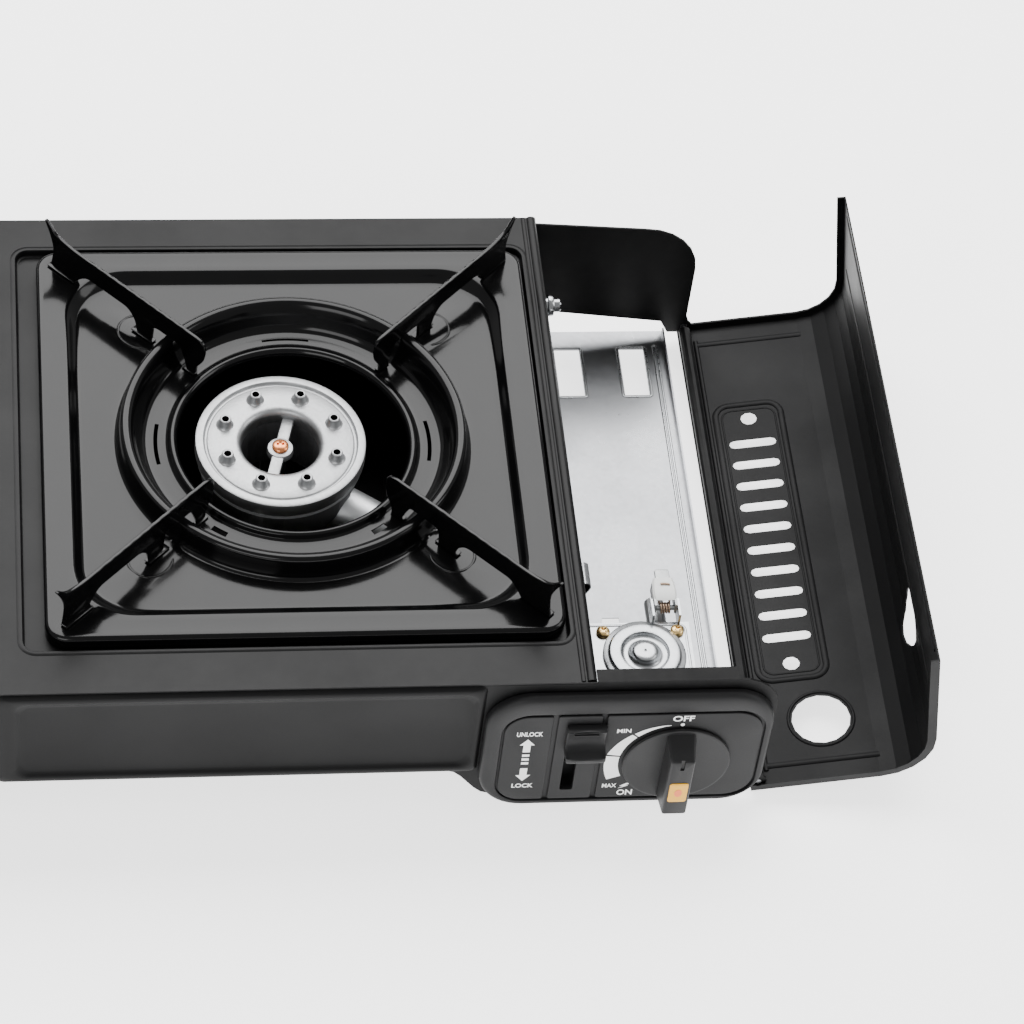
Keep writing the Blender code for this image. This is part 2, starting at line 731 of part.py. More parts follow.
def make_burner_head():
    low, top = HEAD_TOP_Z - HEAD_HEIGHT, HEAD_TOP_Z
    face = top - 0.001
    profile = [
        (HEAD_RADIUS - HEAD_RIM, top),
        (HEAD_RADIUS, top),
        (HEAD_RADIUS, low + 0.003),
        (HEAD_RADIUS - 0.002, low),
        (THROAT_RADIUS, low),
        (THROAT_RADIUS, face - 0.004),
        (THROAT_RADIUS + 0.0012, face - 0.0012),
        (THROAT_RADIUS + 0.004, face),
        (HEAD_RADIUS - HEAD_RIM - 0.0005, face),
    ]
    head = turned("burner_head_right", profile, 28, closed=True)
    head.location = (BURNER_X, BURNER_Y, 0)
    for i in range(NOZZLES):
        angle = 2 * math.pi * (i + 0.5) / NOZZLES
        x = BURNER_X + NOZZLE_CIRCLE * math.cos(angle)
        y = BURNER_Y + NOZZLE_CIRCLE * math.sin(angle)
        foot, tip = (x, y, face - 0.001), (x, y, face + NOZZLE_HEIGHT)
        join(head, rod("nozzle", foot, tip, NOZZLE_FOOT, 6, end_radius=NOZZLE_TIP))

    half = THROAT_RADIUS + 0.001
    bar_low, bar_high = (-BAR_WIDTH / 2, -half, low), (BAR_WIDTH / 2, half, low + BAR_HEIGHT)
    bar = box("cross_bar", bar_low, bar_high)
    bar.location = (BURNER_X, BURNER_Y, GAP)
    bar.rotation_euler.z = BAR_ANGLE
    hub_low, hub_high = low + 2 * GAP, low + BAR_HEIGHT + 3 * GAP
    ends = [(BURNER_X, BURNER_Y, z) for z in (hub_low, hub_high, low - 0.01, low + 0.01)]
    hub = rod("hub", ends[0], ends[1], HUB_RADIUS, 14)
    bore = rod("screw_bore", ends[2], ends[3], SCREW_SHANK + GAP, 10)
    cut(join(head, bar, hub), bore)
    return finish(head, "cast_aluminium")


def make_burner_screw():
    seat = HEAD_TOP_Z - HEAD_HEIGHT + BAR_HEIGHT + 4 * GAP
    profile = [
        (0, seat + 0.0022),
        (0.6 * SCREW_HEAD, seat + 0.0020),
        (SCREW_HEAD, seat + 0.0008),
        (SCREW_HEAD, seat),
        (SCREW_SHANK, seat),
        (SCREW_SHANK, seat - 0.012),
        (0, seat - 0.013),
    ]
    screw = turned("burner_screw_right", profile, 12)
    screw.location = (BURNER_X, BURNER_Y, 0)
    return finish(screw, "copper")


def make_burner_cup():
    """A ring-shaped trough under the head on two legs, with a hole for the mixing tube."""
    top, foot = CUP_TOP_Z, CUP_TOP_Z - CUP_HEIGHT
    inner = THROAT_RADIUS + 0.001
    profile = [
        (CUP_TOP_RADIUS - CUP_WALL, top),
        (CUP_TOP_RADIUS, top),
        (CUP_TOP_RADIUS - 0.002, top - 0.6 * CUP_HEIGHT),
        (CUP_FOOT_RADIUS, foot),
        (inner, foot),
        (inner, top),
        (inner + CUP_WALL, top),
        (inner + CUP_WALL, foot + CUP_WALL),
        (CUP_FOOT_RADIUS - CUP_WALL / 2, foot + CUP_WALL),
        (CUP_TOP_RADIUS - 0.002 - CUP_WALL, top - 0.6 * CUP_HEIGHT + CUP_WALL / 2),
    ]
    cup = turned("burner_cup_right", profile, 24, closed=True)
    cup.location = (BURNER_X, BURNER_Y, 0)
    middle = (inner + CUP_FOOT_RADIUS) / 2
    for side in (-1, 1):
        y = BURNER_Y + side * middle
        low = (BURNER_X - LEG_WIDTH / 2, y - CUP_WALL, FLOOR_Z + SHEET + GAP)
        high = (BURNER_X + LEG_WIDTH / 2, y + CUP_WALL, foot + CUP_WALL / 2)
        join(cup, box("cup_leg", low, high))
    mouth = (inner + CUP_FOOT_RADIUS) / 2
    start, end = feed_point(mouth), feed_point(2 * CUP_TOP_RADIUS)
    cut(cup, rod("tube_hole", start, end, TUBE_RADIUS + GAP, 16))
    return finish(cup, "cast_iron")


def make_mixing_tube():
    start, end = Vector(feed_point(CUP_FOOT_RADIUS - CUP_WALL)), Vector(feed_point(TUBE_END))
    length = (end - start).length
    inner = TUBE_RADIUS - TUBE_WALL
    profile = [(inner, length), (TUBE_RADIUS, length), (TUBE_RADIUS, 0), (inner, 0)]
    tube = turned("mixing_tube_right", profile, 16, closed=True)
    tube.location = start
    tube.rotation_euler = (end - start).to_track_quat("Z", "Y").to_euler()
    return finish(tube, "cast_aluminium")


def make_gas_jet():
    """From the regulator's side, through the deck's folded side, into the mixing tube's mouth."""
    tip = Vector(feed_point(TUBE_END - 0.008))
    run = math.hypot(CAN_X - BURNER_X, CAN_Y - BURNER_Y)
    seat = Vector(feed_point(run - CAN_RADIUS - 2 * GAP))
    length = (seat - tip).length
    profile = [
        (0, length),
        (JET_RADIUS, length),
        (JET_RADIUS, 0.55 * length + 0.004),
        (JET_COLLAR, 0.55 * length + 0.002),
        (JET_COLLAR, 0.35 * length),
        (JET_NECK, 0.35 * length),
        (0.5 * JET_NECK, 0),
        (0, 0),
    ]
    jet = turned("gas_jet_right", profile, 12)
    jet.location = tip
    jet.rotation_euler = (seat - tip).to_track_quat("Z", "Y").to_euler()
    return finish(jet, "brass")


# ---- spark ignition ----


def make_electrode():
    low, high = ELECTRODE_Z
    profile = [
        (0, high + 0.003),
        (0.0006, high + 0.003),
        (0.0006, high),
        (0.8 * ELECTRODE_RADIUS, high),
        (ELECTRODE_RADIUS, high - 0.003),
        (ELECTRODE_RADIUS, low),
        (0, low),
    ]
    electrode = turned("spark_electrode_right", profile, 10)
    electrode.location = (ELECTRODE_X, ELECTRODE_Y, 0)
    return finish(electrode, "ceramic")


def make_igniter():
    y = FRONT_Y + SHEET + GAP
    (x0, x1), (z0, z1) = IGNITER_X, IGNITER_Z
    igniter = box("spark_igniter_right", (x0, y, z0), (x1, y + IGNITER_DEPTH, z1))
    rounding = igniter.modifiers.new("edges", "BEVEL")
    rounding.width = 0.0015
    rounding.segments = 1
    return finish(igniter, "black_plastic")


def make_lead():
    """The insulated lead from the igniter, through the deck's side and along the floor, to the electrode."""
    curve = bpy.data.curves.new("ignition_lead", "CURVE")
    curve.dimensions = "3D"
    curve.bevel_depth = LEAD_RADIUS
    curve.bevel_resolution = 1
    curve.use_fill_caps = True
    route = [Vector(point) for point in LEAD_ROUTE]
    route = [2 * route[0] - route[1], *route, 2 * route[-1] - route[-2]]
    points = [smooth_point(route, i, t / 2) for i in range(len(LEAD_ROUTE) - 1) for t in (0, 1)]
    points.append(route[-2])
    spline = curve.splines.new("POLY")
    spline.points.add(len(points) - 1)
    for spline_point, point in zip(spline.points, points):
        spline_point.co = (*point, 1)
    lead = place("ignition_lead_right", curve, stove)
    lead.data.materials.append(materials["lead_sleeve"])
    return lead


def smooth_point(points, i, t):
    """A point of the smooth curve through the points, between point i + 1 and point i + 2."""
    a, b, c, d = points[i : i + 4]
    return 0.5 * (
        2 * b + (c - a) * t + (2 * a - 5 * b + 4 * c - d) * t**2 + (3 * b - a - 3 * c + d) * t**3
    )


# ---- cartridge bay ----


def make_tray():
    """Floor of the bay: a zinc-coated sheet with windows, an upturned outer edge and an inner flange."""
    inner_x, reach = DECK_HALF + GAP, DEPTH / 2 - SHEET - GAP
    outline = rectangle((inner_x, TRAY_OUTER_X), (-reach, reach))
    z = TRAY_Z + TRAY_SHEET / 2
    tray = flat_piece("cartridge_tray_right", [outline], TRAY_SHEET, lying(z))
    outside, end = TRAY_OUTER_X - 0.2 * TRAY_SHEET, reach - TRAY_SHEET
    edge_low = (outside - TRAY_SHEET, -end, TRAY_Z + TRAY_SHEET / 2)
    edge = box("tray_edge", edge_low, (outside, end, TRAY_Z + TRAY_FLANGE))
    join(tray, edge)
    windows = [(x_range, WINDOW_Y) for x_range in WINDOW_X] + [(LUG_WINDOW_X, LUG_WINDOW_Y)]
    for (x0, x1), (y0, y1) in windows:
        cut(tray, box("tray_window", (x0, y0, 0), (x1, y1, 2 * TRAY_Z)))
    return finish(tray, "zinc_steel")


def make_regulator_body():
    top, shoulder = MOUNT_Z + MOUNT_SHEET + 2 * GAP, MOUNT_Z - GAP
    profile = [(0, top), (CAN_NECK, top), (CAN_NECK, shoulder), (CAN_RADIUS, shoulder)]
    body = turned("regulator_body_right", profile + [(CAN_RADIUS, CAN_LOW_Z), (0, CAN_LOW_Z)], 24)
    body.location = (CAN_X, CAN_Y, 0)
    inlet = rod("inlet", (AXIS_X, CAN_Y, INLET_Z), (AXIS_X, INLET_END_Y, INLET_Z), INLET_RADIUS, 14)
    front_y = CAN_Y - CAN_RADIUS - 0.004
    boss_start, boss_end = (AXIS_X, CAN_Y, stem_z(CAN_Y)), (AXIS_X, front_y, stem_z(front_y))
    boss = rod("valve_boss", boss_start, boss_end, STEM_RADIUS + 0.0018, 14)
    bore_end, bore_start = front_y + STEM_SEAT + GAP, front_y - 0.01
    bore_low, bore_high = (AXIS_X, bore_start, stem_z(bore_start)), (AXIS_X, bore_end, stem_z(bore_end))
    bore = rod("valve_bore", bore_low, bore_high, STEM_RADIUS + GAP, 12)
    cut(join(body, inlet, boss), bore)
    return finish(body, "cast_aluminium")


def make_regulator_cap():
    """The diaphragm cover on the can: a ring, a dish and a vented dome."""
    seat = MOUNT_Z + MOUNT_SHEET + 3 * GAP
    ring = seat + CAP_HEIGHT
    profile = [
        (0, ring + DOME_HEIGHT),
        (0.75 * DOME_RADIUS, ring + DOME_HEIGHT - 0.0002),
        (DOME_RADIUS, ring + DOME_HEIGHT - 0.0012),
        (1.25 * DOME_RADIUS, seat + 0.0015),
        (DISH_RADIUS, seat + 0.0020),
        (DISH_RADIUS + 0.0008, ring),
        (CAP_RADIUS, ring),
        (CAP_RADIUS, seat),
        (0, seat),
    ]
    cap = turned("regulator_cap_right", profile, 24)
    cap.location = (CAN_X, CAN_Y, 0)
    return finish(cap, "zinc_steel")


def make_mounting_plate():
    """Plate around the can, with a leg down to the tray and two ears for the retainer's pin."""
    can_hole = circle(CAN_X, CAN_Y, CAN_NECK + GAP, 24)
    screw_holes = [circle(x, y, 0.5 * MOUNT_SCREW_HEAD + GAP, 8) for x, y in MOUNT_SCREWS]
    outlines = [rectangle(MOUNT_X, MOUNT_Y), can_hole, *screw_holes]
    z = MOUNT_Z + MOUNT_SHEET / 2
    plate = flat_piece("regulator_plate_right", outlines, MOUNT_SHEET, lying(z))
    outside = MOUNT_X[1] - 0.2 * MOUNT_SHEET
    leg_low = (outside - MOUNT_SHEET, MOUNT_Y[0] + 0.004, TRAY_Z + TRAY_SHEET + GAP)
    join(plate, box("plate_leg", leg_low, (outside, MOUNT_Y[1] - 0.004, z)))
    ear_reach = 0.003
    for side in (-1, 1):
        x0 = RETAINER_X + side * (RETAINER_WIDTH / 2 + GAP) + (side - 1) / 2 * RETAINER_SHEET
        low = (x0, MOUNT_Y[1] - 0.002, MOUNT_Z + MOUNT_SHEET / 4)
        high = (x0 + RETAINER_SHEET, RETAINER_Y + ear_reach, RETAINER_Z + ear_reach)
        join(plate, box("retainer_ear", low, high))
    start = (RETAINER_X - RETAINER_WIDTH, RETAINER_Y, RETAINER_Z)
    end = (RETAINER_X + RETAINER_WIDTH, RETAINER_Y, RETAINER_Z)
    cut(plate, rod("retainer_bore", start, end, RETAINER_PIN + 0.0001, 10))
    return finish(plate, "zinc_steel")


def make_mounting_screws():
    seat = MOUNT_Z + MOUNT_SHEET + GAP
    shank = 0.5 * MOUNT_SCREW_HEAD
    profile = [
        (0, seat + 0.0022),
        (0.65 * MOUNT_SCREW_HEAD, seat + 0.0018),
        (MOUNT_SCREW_HEAD, seat + 0.0005),
        (MOUNT_SCREW_HEAD, seat),
        (shank, seat),
        (shank, seat - 0.0028),
        (0, seat - 0.0031),
    ]
    screws = []
    for name, (x, y) in zip(("outer", "inner"), MOUNT_SCREWS):
        screw = turned(f"plate_screw_{name}_right", profile, 10)
        screw.location = (x, y, 0)
        screws.append(finish(screw, "brass"))
    return screws


def make_retainer(pivot):
    """A sprung tongue on a pin, which holds the cartridge's collar. Its origin is on the pin."""
    half, sheet, pin = RETAINER_WIDTH / 2, RETAINER_SHEET, RETAINER_PIN
    rise = SPRING_RADIUS + 2 * GAP
    body_end, tip = 0.62 * RETAINER_LENGTH, RETAINER_LENGTH
    reach = half + sheet + GAP
    retainer = rod("retainer_lever_right", (-reach, 0, 0), (reach, 0, 0), pin, 10, pivot)
    for side in (-1, 1):
        x0, x1 = sorted((side * half, side * (half - sheet)))
        low, high = (x0, -1.5 * pin, -1.5 * pin), (x1, body_end, rise + sheet)
        join(retainer, box("retainer_side", low, high, pivot))
    low = (-half + sheet / 2, SPRING_RADIUS + 2 * GAP, rise)
    join(retainer, box("tongue", low, (half - sheet / 2, body_end, rise + sheet), pivot))
    low, high = (-RETAINER_TAB / 2, body_end - sheet, rise), (RETAINER_TAB / 2, tip, rise + 0.8 * sheet)
    join(retainer, box("tongue_tab", low, high, pivot))
    return finish(retainer, "zinc_steel")


def make_spring(pivot):
    """The wound part of the retainer's torsion spring, around the pin."""
    half = RETAINER_WIDTH / 2 - RETAINER_SHEET - GAP
    inner = SPRING_RADIUS - SPRING_WIRE
    profile = [(inner, half), (SPRING_RADIUS, half), (SPRING_RADIUS, -half), (inner, -half)]
    spring = turned("retainer_spring_right", profile, 12, pivot, closed=True)
    spring.rotation_euler.y = math.pi / 2
    return finish(spring, "spring_steel")


# ---- lid ----


def lid_section(inward):
    """The closed lid's inside in (x, z) from the rod's axis, moved inward by this much."""
    x, top, corner = LID_INNER_X - inward, LID_SIDE - inward, LID_CORNER - inward
    rim = LID_INNER_X - LID_REACH
    bottom = -ROD_RADIUS - GAP - CURL_WALL - 0.0004
    side = [(x, bottom), (x, 0.30 * top), (x, 0.55 * top)]
    bend = arc(x - corner, top - corner, corner, 0, 90, 5)
    return side + bend + [(rim, top)]


def make_lid(hinge):
    """A side and a top in one bent sheet, with lips along both ends and a curl around the rod."""
    end_y = LID_END_Y
    inside, lip = lid_section(0), lid_section(LID_LIP)
    stations = ((lip, -end_y), (inside, -end_y), (inside, end_y), (lip, end_y))
    rows = [[(x, y, z) for x, z in section] for section, y in stations]
    lid = thicken(loft("lid_right", rows, hinge, closed=False), SHEET)

    reach = DEPTH / 2 - 4 * SHEET
    curl_radius = ROD_RADIUS + GAP + CURL_WALL
    web_low = (0, -reach + SHEET, -0.9 * curl_radius)
    web_high = (LID_INNER_X + SHEET / 2, reach - SHEET, CURL_WALL - 0.9 * curl_radius)
    web = box("lid_web", web_low, web_high, hinge)
    curl = rod("lid_curl", (0, -reach, 0), (0, reach, 0), curl_radius, 12, hinge)
    bore = rod("lid_bore", (0, -DEPTH, 0), (0, DEPTH, 0), ROD_RADIUS + GAP, 10, hinge)
    cut(join(lid, web, curl), bore)

    row_half = (VENT_SLOTS - 1) * VENT_PITCH / 2
    slot_x = (VENT_HEIGHT - VENT_LENGTH / 2, VENT_HEIGHT + VENT_LENGTH / 2)
    outlines = [circle(GRIP_HOLE_HEIGHT, GRIP_HOLE_Y, GRIP_HOLE_RADIUS, 16)]
    for i in range(VENT_SLOTS):
        middle = VENT_MIDDLE_Y - row_half + i * VENT_PITCH
        slot_y = (middle - VENT_WIDTH / 2, middle + VENT_WIDTH / 2)
        outlines.append(round_rectangle(slot_x, slot_y, 0.499 * VENT_WIDTH, 2))
    for side in (-1, 1):
        hole_y = VENT_MIDDLE_Y + side * (row_half + VENT_HOLE_PITCH)
        outlines.append(circle(VENT_HEIGHT, hole_y, VENT_HOLE_RADIUS, 10))
    sideways = Matrix.Translation((LID_INNER_X, 0, 0)) @ Matrix.Rotation(-math.pi / 2, 4, "Y")
    hole_x = LID_INNER_X - TOP_HOLE_INSET
    low, high = (hole_x, TOP_HOLE_Y, LID_SIDE - LID_CORNER / 2), (hole_x, TOP_HOLE_Y, LID_SIDE + 0.01)
    top_hole = rod("top_hole", low, high, GRIP_HOLE_RADIUS, 16, hinge)
    cut(lid, flat_piece("side_holes", outlines, 8 * SHEET, sideways, hinge), top_hole)
    return finish(lid, "body_paint")


def make_hinge_rod(hinge):
    reach = DEPTH / 2 + GAP
    hinge_rod = rod("hinge_rod_right", (0, -reach, 0), (0, reach, 0), ROD_RADIUS, 12, hinge)
    return finish(hinge_rod, "zinc_steel")


# ---- controls ----


def lever_slot(clearance):
    """Opening for the lock lever's arm over its whole travel, in (x, z)."""
    half_x, half_z = LEVER_WIDTH / 2 + clearance, LEVER_HEIGHT / 2 + clearance
    x_range = (LEVER_X - half_x, LEVER_X + half_x)
    return rectangle(x_range, (LEVER_Z - LEVER_TRAVEL - half_z, LEVER_Z + half_z))


def panel_ring(inset, depth):
    """The panel's outline this far inside its edge, at this depth behind its leaning face."""
    (x0, x1), (z0, z1) = PANEL_X, PANEL_Z
    x_range, z_range = (x0 + inset, x1 - inset), (z0 + inset, z1 - inset)
    outline = round_rectangle(x_range, z_range, PANEL_CORNER - inset, 4)
    return [(x, panel_face_y(z) + depth, z) for x, z in outline]


def flat_ring(inset, y):
    return [(x, y, z) for x, _, z in panel_ring(inset, 0)]


def make_control_panel():
    back = FRONT_Y - GAP
    rows = [panel_ring(PANEL_EDGE, 0), panel_ring(0.3 * PANEL_EDGE, 0.3 * PANEL_EDGE)]
    rows += [panel_ring(0, PANEL_EDGE), flat_ring(0, back)]
    panel = loft("control_panel_right", rows[::-1], caps=True)
    hollow = [panel_ring(PANEL_WALL, PANEL_WALL), flat_ring(PANEL_WALL, back + 0.002)]
    cut(panel, loft("panel_hollow", hollow[::-1], caps=True))
    hole = STEM_RADIUS + STEM_CLEARANCE
    start, end = (AXIS_X, PANEL_FACE_Y - 0.01), (AXIS_X, back)
    start, end = ((x, y, stem_z(y)) for x, y in (start, end))
    cut(panel, rod("stem_hole", start, end, hole, 12))
    slot = [lever_slot(LEVER_CLEARANCE)]
    cut(panel, flat_piece("panel_slot", slot, 4 * PANEL_DEPTH, standing(PANEL_FACE_Y)))
    return finish(panel, "black_plastic")


def make_knob(axle):
    """Disc and grip, turning about the axle empty's Y axis. The grip points up at OFF."""
    back = -KNOB_CLEARANCE
    face = back - KNOB_DISC
    profile = [
        (0, -face),
        (KNOB_RADIUS - 0.0015, -face),
        (KNOB_RADIUS, -face - 0.0015),
        (KNOB_RADIUS, -back),
        (0, -back),
    ]
    knob = turned("knob_right", profile, 32, axle)
    knob.rotation_euler.x = math.pi / 2

    rows, steps = [], ((-0.001, 0, 0), (0.6 * GRIP_RISE, 0.0008, 0.001), (GRIP_RISE, 0.0022, 0.003))
    for depth, narrow, short in steps:
        y, half = face - depth, GRIP_WIDTH / 2 - narrow
        low, high = short / 3 - GRIP_HEIGHT / 2, GRIP_HEIGHT / 2 - 2 * short
        rows.append([(-half, y, low), (half, y, low), (half, y, high), (-half, y, high)])
    grip = loft("knob_grip", rows, axle, caps=True)
    start, end = (0, 0.001, 0), (0, back - STEM_SEAT, 0)
    bore = rod("knob_bore", start, end, STEM_RADIUS + GAP, 12, axle)
    cut(join(knob, grip), bore)
    return finish(knob, "black_plastic")


def make_stem(axle):
    front_y = CAN_Y - CAN_RADIUS - 0.004
    length = (front_y + STEM_SEAT - PANEL_FACE_Y) / math.cos(PANEL_LEAN)
    start, end = (0, -KNOB_CLEARANCE - STEM_SEAT + GAP, 0), (0, length, 0)
    return finish(rod("valve_stem_right", start, end, STEM_RADIUS, 12, axle), "brass")


def make_lock_lever(rail):
    """Thumb tab in front of the panel, with an arm through the slot. It slides along the leaning face."""
    half_x, half_z = LEVER_WIDTH / 2, LEVER_HEIGHT / 2
    front = -GAP
    low = (LEVER_X - half_x, front - 0.001, -half_z)
    high = (LEVER_X + half_x, PANEL_DEPTH + SHEET + LEVER_INSIDE, half_z)
    lever = box("lock_lever_right", low, high, rail)
    (x0, x1), half = TAB_X, TAB_HEIGHT / 2
    outline = round_rectangle((x0, x1), (-half, half), 0.003, 2)
    edge = 0.0012
    (x2, x3), inner = (x0 + edge, x1 - edge), half - edge
    smaller = round_rectangle((x2, x3), (-inner, inner), 0.003 - edge, 2)
    rows = [[(x, front, z) for x, z in outline]]
    rows.append([(x, front - TAB_RISE + edge, z) for x, z in outline])
    rows.append([(x, front - TAB_RISE, z) for x, z in smaller])
    join(lever, loft("lock_tab", rows, rail, caps=True))
    return finish(lever, "black_plastic")


# ---- assembly ----

clear_scene()
stove_parts = new_collection("camping_stove")
stove_tools = new_collection("cutting_tools")
materials = {name: new_material(name) for name in COLOURS}
stove = new_empty("stove", location=(0, -MIDDLE_Y, 0))

make_base_shell()
make_deck()

pan_lift = new_empty("pan_lift", stove, (PAN_X, PAN_Y, 0))
lid_hinge = new_empty("lid_hinge", stove, (HINGE_X, 0, HINGE_Z), (0, LID_OPEN, 0))
knob_axle = new_empty("knob_axle", stove, (AXIS_X, PANEL_FACE_Y, KNOB_Z), (-PANEL_LEAN, 0, 0))
lever_rail = new_empty(
    "lever_rail", stove, (0, panel_face_y(LEVER_Z), LEVER_Z), (-PANEL_LEAN, 0, 0)
)
retainer_pivot = new_empty("retainer_pivot", stove, (RETAINER_X, RETAINER_Y, RETAINER_Z))

right_pieces = [
    *make_feet(),
    make_drip_pan(pan_lift),
    *make_blades(pan_lift),
    make_burner_head(),
    make_burner_screw(),
    make_burner_cup(),
    make_mixing_tube(),
    make_gas_jet(),
    make_electrode(),
    make_igniter(),
    make_lead(),
    make_tray(),
    make_regulator_body(),
    make_regulator_cap(),
    make_mounting_plate(),
    *make_mounting_screws(),
    make_retainer(retainer_pivot),
    make_spring(retainer_pivot),
    make_lid(lid_hinge),
    make_hinge_rod(lid_hinge),
    make_control_panel(),
    make_knob(knob_axle),
    make_stem(knob_axle),
    make_lock_lever(lever_rail),
]

bpy.context.view_layer.update()
for piece in right_pieces:
    mirrored_copy(piece, piece.name.replace("_right", "_left"))
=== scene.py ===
"""Twin-burner camping stove: its visible pieces, their finishes and a plain studio around them.

Sizes in the making are in millimetres from a piece's own middle, and become metres when placed.
Each piece of the right half is made once, and its mirror image stands on the left.
"""

import math

import bmesh
import bpy
from mathutils import Matrix, Vector


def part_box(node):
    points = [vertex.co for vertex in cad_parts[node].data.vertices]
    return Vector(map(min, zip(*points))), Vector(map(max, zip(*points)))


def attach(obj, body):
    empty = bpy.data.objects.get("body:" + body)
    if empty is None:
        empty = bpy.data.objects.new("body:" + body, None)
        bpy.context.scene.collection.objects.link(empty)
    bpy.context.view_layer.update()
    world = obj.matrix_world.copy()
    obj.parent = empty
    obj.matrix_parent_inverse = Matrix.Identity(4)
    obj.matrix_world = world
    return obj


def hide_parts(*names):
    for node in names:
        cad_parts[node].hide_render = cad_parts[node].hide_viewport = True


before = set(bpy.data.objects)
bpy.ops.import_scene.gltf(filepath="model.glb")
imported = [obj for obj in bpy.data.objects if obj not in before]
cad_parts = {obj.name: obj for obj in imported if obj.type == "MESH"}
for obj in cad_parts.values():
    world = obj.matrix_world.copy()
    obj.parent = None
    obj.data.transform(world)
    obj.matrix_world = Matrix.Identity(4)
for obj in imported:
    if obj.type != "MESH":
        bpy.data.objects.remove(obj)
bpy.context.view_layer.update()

bl_info = {
    "name": "Camping stove",
    "version": (1, 0, 0),
    "blender": (4, 5, 0),
    "location": "3D View > Sidebar > Stove",
    "description": "Builds the visible pieces and finishes of a twin-burner camping stove",
    "category": "Object",
}

MM = 0.001
SIDES = ("right", "left")
BLADES = ("back_outer", "back_inner", "front_inner", "front_outer")
PANEL_LEAN = math.radians(2)
AXLE_DROP = 5.0  # the knob's axis below the middle of the panel's marks
LID_OPEN = math.radians(81.3)
QUARTER = math.pi / 2
STAND = Matrix.Rotation(QUARTER, 4, "X")  # a flat shape drawn in (x, z) stands across the stove
FACE_OUT = Matrix.Rotation(QUARTER, 4, "X")  # a turned shape's axis comes out of the front
MIRROR = Matrix.Scale(-1, 4, (1, 0, 0))
CAPITAL_SHARE = 0.72  # a capital's height as a share of the font's size
PAPER_GLOW = 2.2  # emission of the studio floor, which keeps it white
DUST_TONE = (0.42, 0.41, 0.39)
WORN_TONE = (0.4, 0.4, 0.4)  # of a rubbed edge, where a finish gives no other
GRAIN_STRENGTH = 0.6
SPANGLE_SHARE = 0.72  # tone of a dark crystal as a share of the sheet's
SPANGLE_SCALE = 260.0


# ---- where the frame's pieces are ----


def middle(node):
    low, high = (Vector(corner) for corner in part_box(node))
    return (low + high) / 2


DEPTH_MIDDLE = middle("top_plate").y / MM  # the frame's y of the middle of the deck, in millimetres


def spot(x, y, z):
    """A place in millimetres from the middle of the deck on the plane of the feet, as a matrix."""
    return Matrix.Translation((x, y + DEPTH_MIDDLE, z))


def spot_of(node, z=0):
    """A matrix at a node's middle in plan, at this height in millimetres."""
    place = middle(node) / MM
    return Matrix.Translation((place.x, place.y, z))


PAN = spot_of("drip_pan_right")
BURNER = spot_of("burner_cup_right")
CAN = spot_of("regulator_cap_right")
PANEL = spot(0, -144.8, 37) @ Matrix.Rotation(-PANEL_LEAN, 4,
                                              "X") @ Matrix.Translation((0, 0, AXLE_DROP))
KNOB_X = middle("knob_right").x / MM
LID = spot(342, 0, 10) @ Matrix.Rotation(LID_OPEN, 4, "Y")


# ---- sizes and colours that a user may change ----


def colour_prop(name, description, default):
    return bpy.props.FloatVectorProperty(
        name=name, description=description, default=default, subtype="COLOR", size=3, min=0, max=1
    )


def length_prop(name, description, default):
    return bpy.props.FloatProperty(name=name, description=description, default=default,
                                   unit="LENGTH")


class StoveColours(bpy.types.PropertyGroup):
    paint: colour_prop("Body paint", "Satin black paint of the body, deck and lids",
                       (0.0045, 0.0045, 0.0047))
    enamel: colour_prop("Enamel", "Gloss enamel of the pans and trivets", (0.0018, 0.0018, 0.0020))
    zinc: colour_prop("Zinc", "Zinc-coated sheet of the bays and regulators", (0.27, 0.275, 0.285))
    casting: colour_prop("Casting", "Cast aluminium of the burner heads", (0.36, 0.365, 0.37))
    plastic: colour_prop("Plastic", "Moulded control panels and knobs", (0.0095, 0.0095, 0.010))
    badge: colour_prop("Badge", "Badge on each knob", (0.80, 0.40, 0.0))
    badge_mark: colour_prop("Badge mark", "Round mark on each badge", (0.85, 0.17, 0.03))
    print_ink: colour_prop("Printing", "Words and marks of the control panels", (0.93, 0.93, 0.92))
    floor: colour_prop("Floor", "Studio floor", (0.93, 0.93, 0.93))


class StoveSizes(bpy.types.PropertyGroup):
    blade_sheet: length_prop("Blade thickness", "Sheet of the trivet blades", 0.0016)
    blade_bumps: length_prop("Blade bumps", "Height of the bumps on a blade's top edge", 0.00035)
    rim_round: length_prop("Pan rim", "Radius of the rounding along a pan's rim", 0.0022)
    word_height: length_prop("Lettering", "Height of the words UNLOCK and LOCK", 0.0030)
    floor_half: length_prop("Floor", "Half the side of the studio floor", 4.0)


def colour(name):
    return tuple(getattr(bpy.context.scene.stove_colours, name))


def size(name):
    """A size property in millimetres."""
    return getattr(bpy.context.scene.stove_sizes, name) / MM


# ---- outlines, in millimetres ----


def arc(x, y, radius, first, last, steps):
    turns = [math.radians(first + (last - first) * i / steps) for i in range(steps + 1)]
    return [(x + radius * math.cos(t), y + radius * math.sin(t)) for t in turns]


def circle(x, y, radius, sides=32):
    return arc(x, y, radius, 0, 360 - 360 / sides, sides - 1)


def round_rectangle(x0, x1, y0, y1, corners, steps=6):
    """Corners are radii from the top right one, anticlockwise, or one radius for all."""
    a, b, c, d = corners if isinstance(corners, tuple) else (corners,) * 4
    return (
        arc(x1 - a, y1 - a, a, 0, 90, steps)
        + arc(x0 + b, y1 - b, b, 90, 180, steps)
        + arc(x0 + c, y0 + c, c, 180, 270, steps)
        + arc(x1 - d, y0 + d, d, 270, 360, steps)
    )


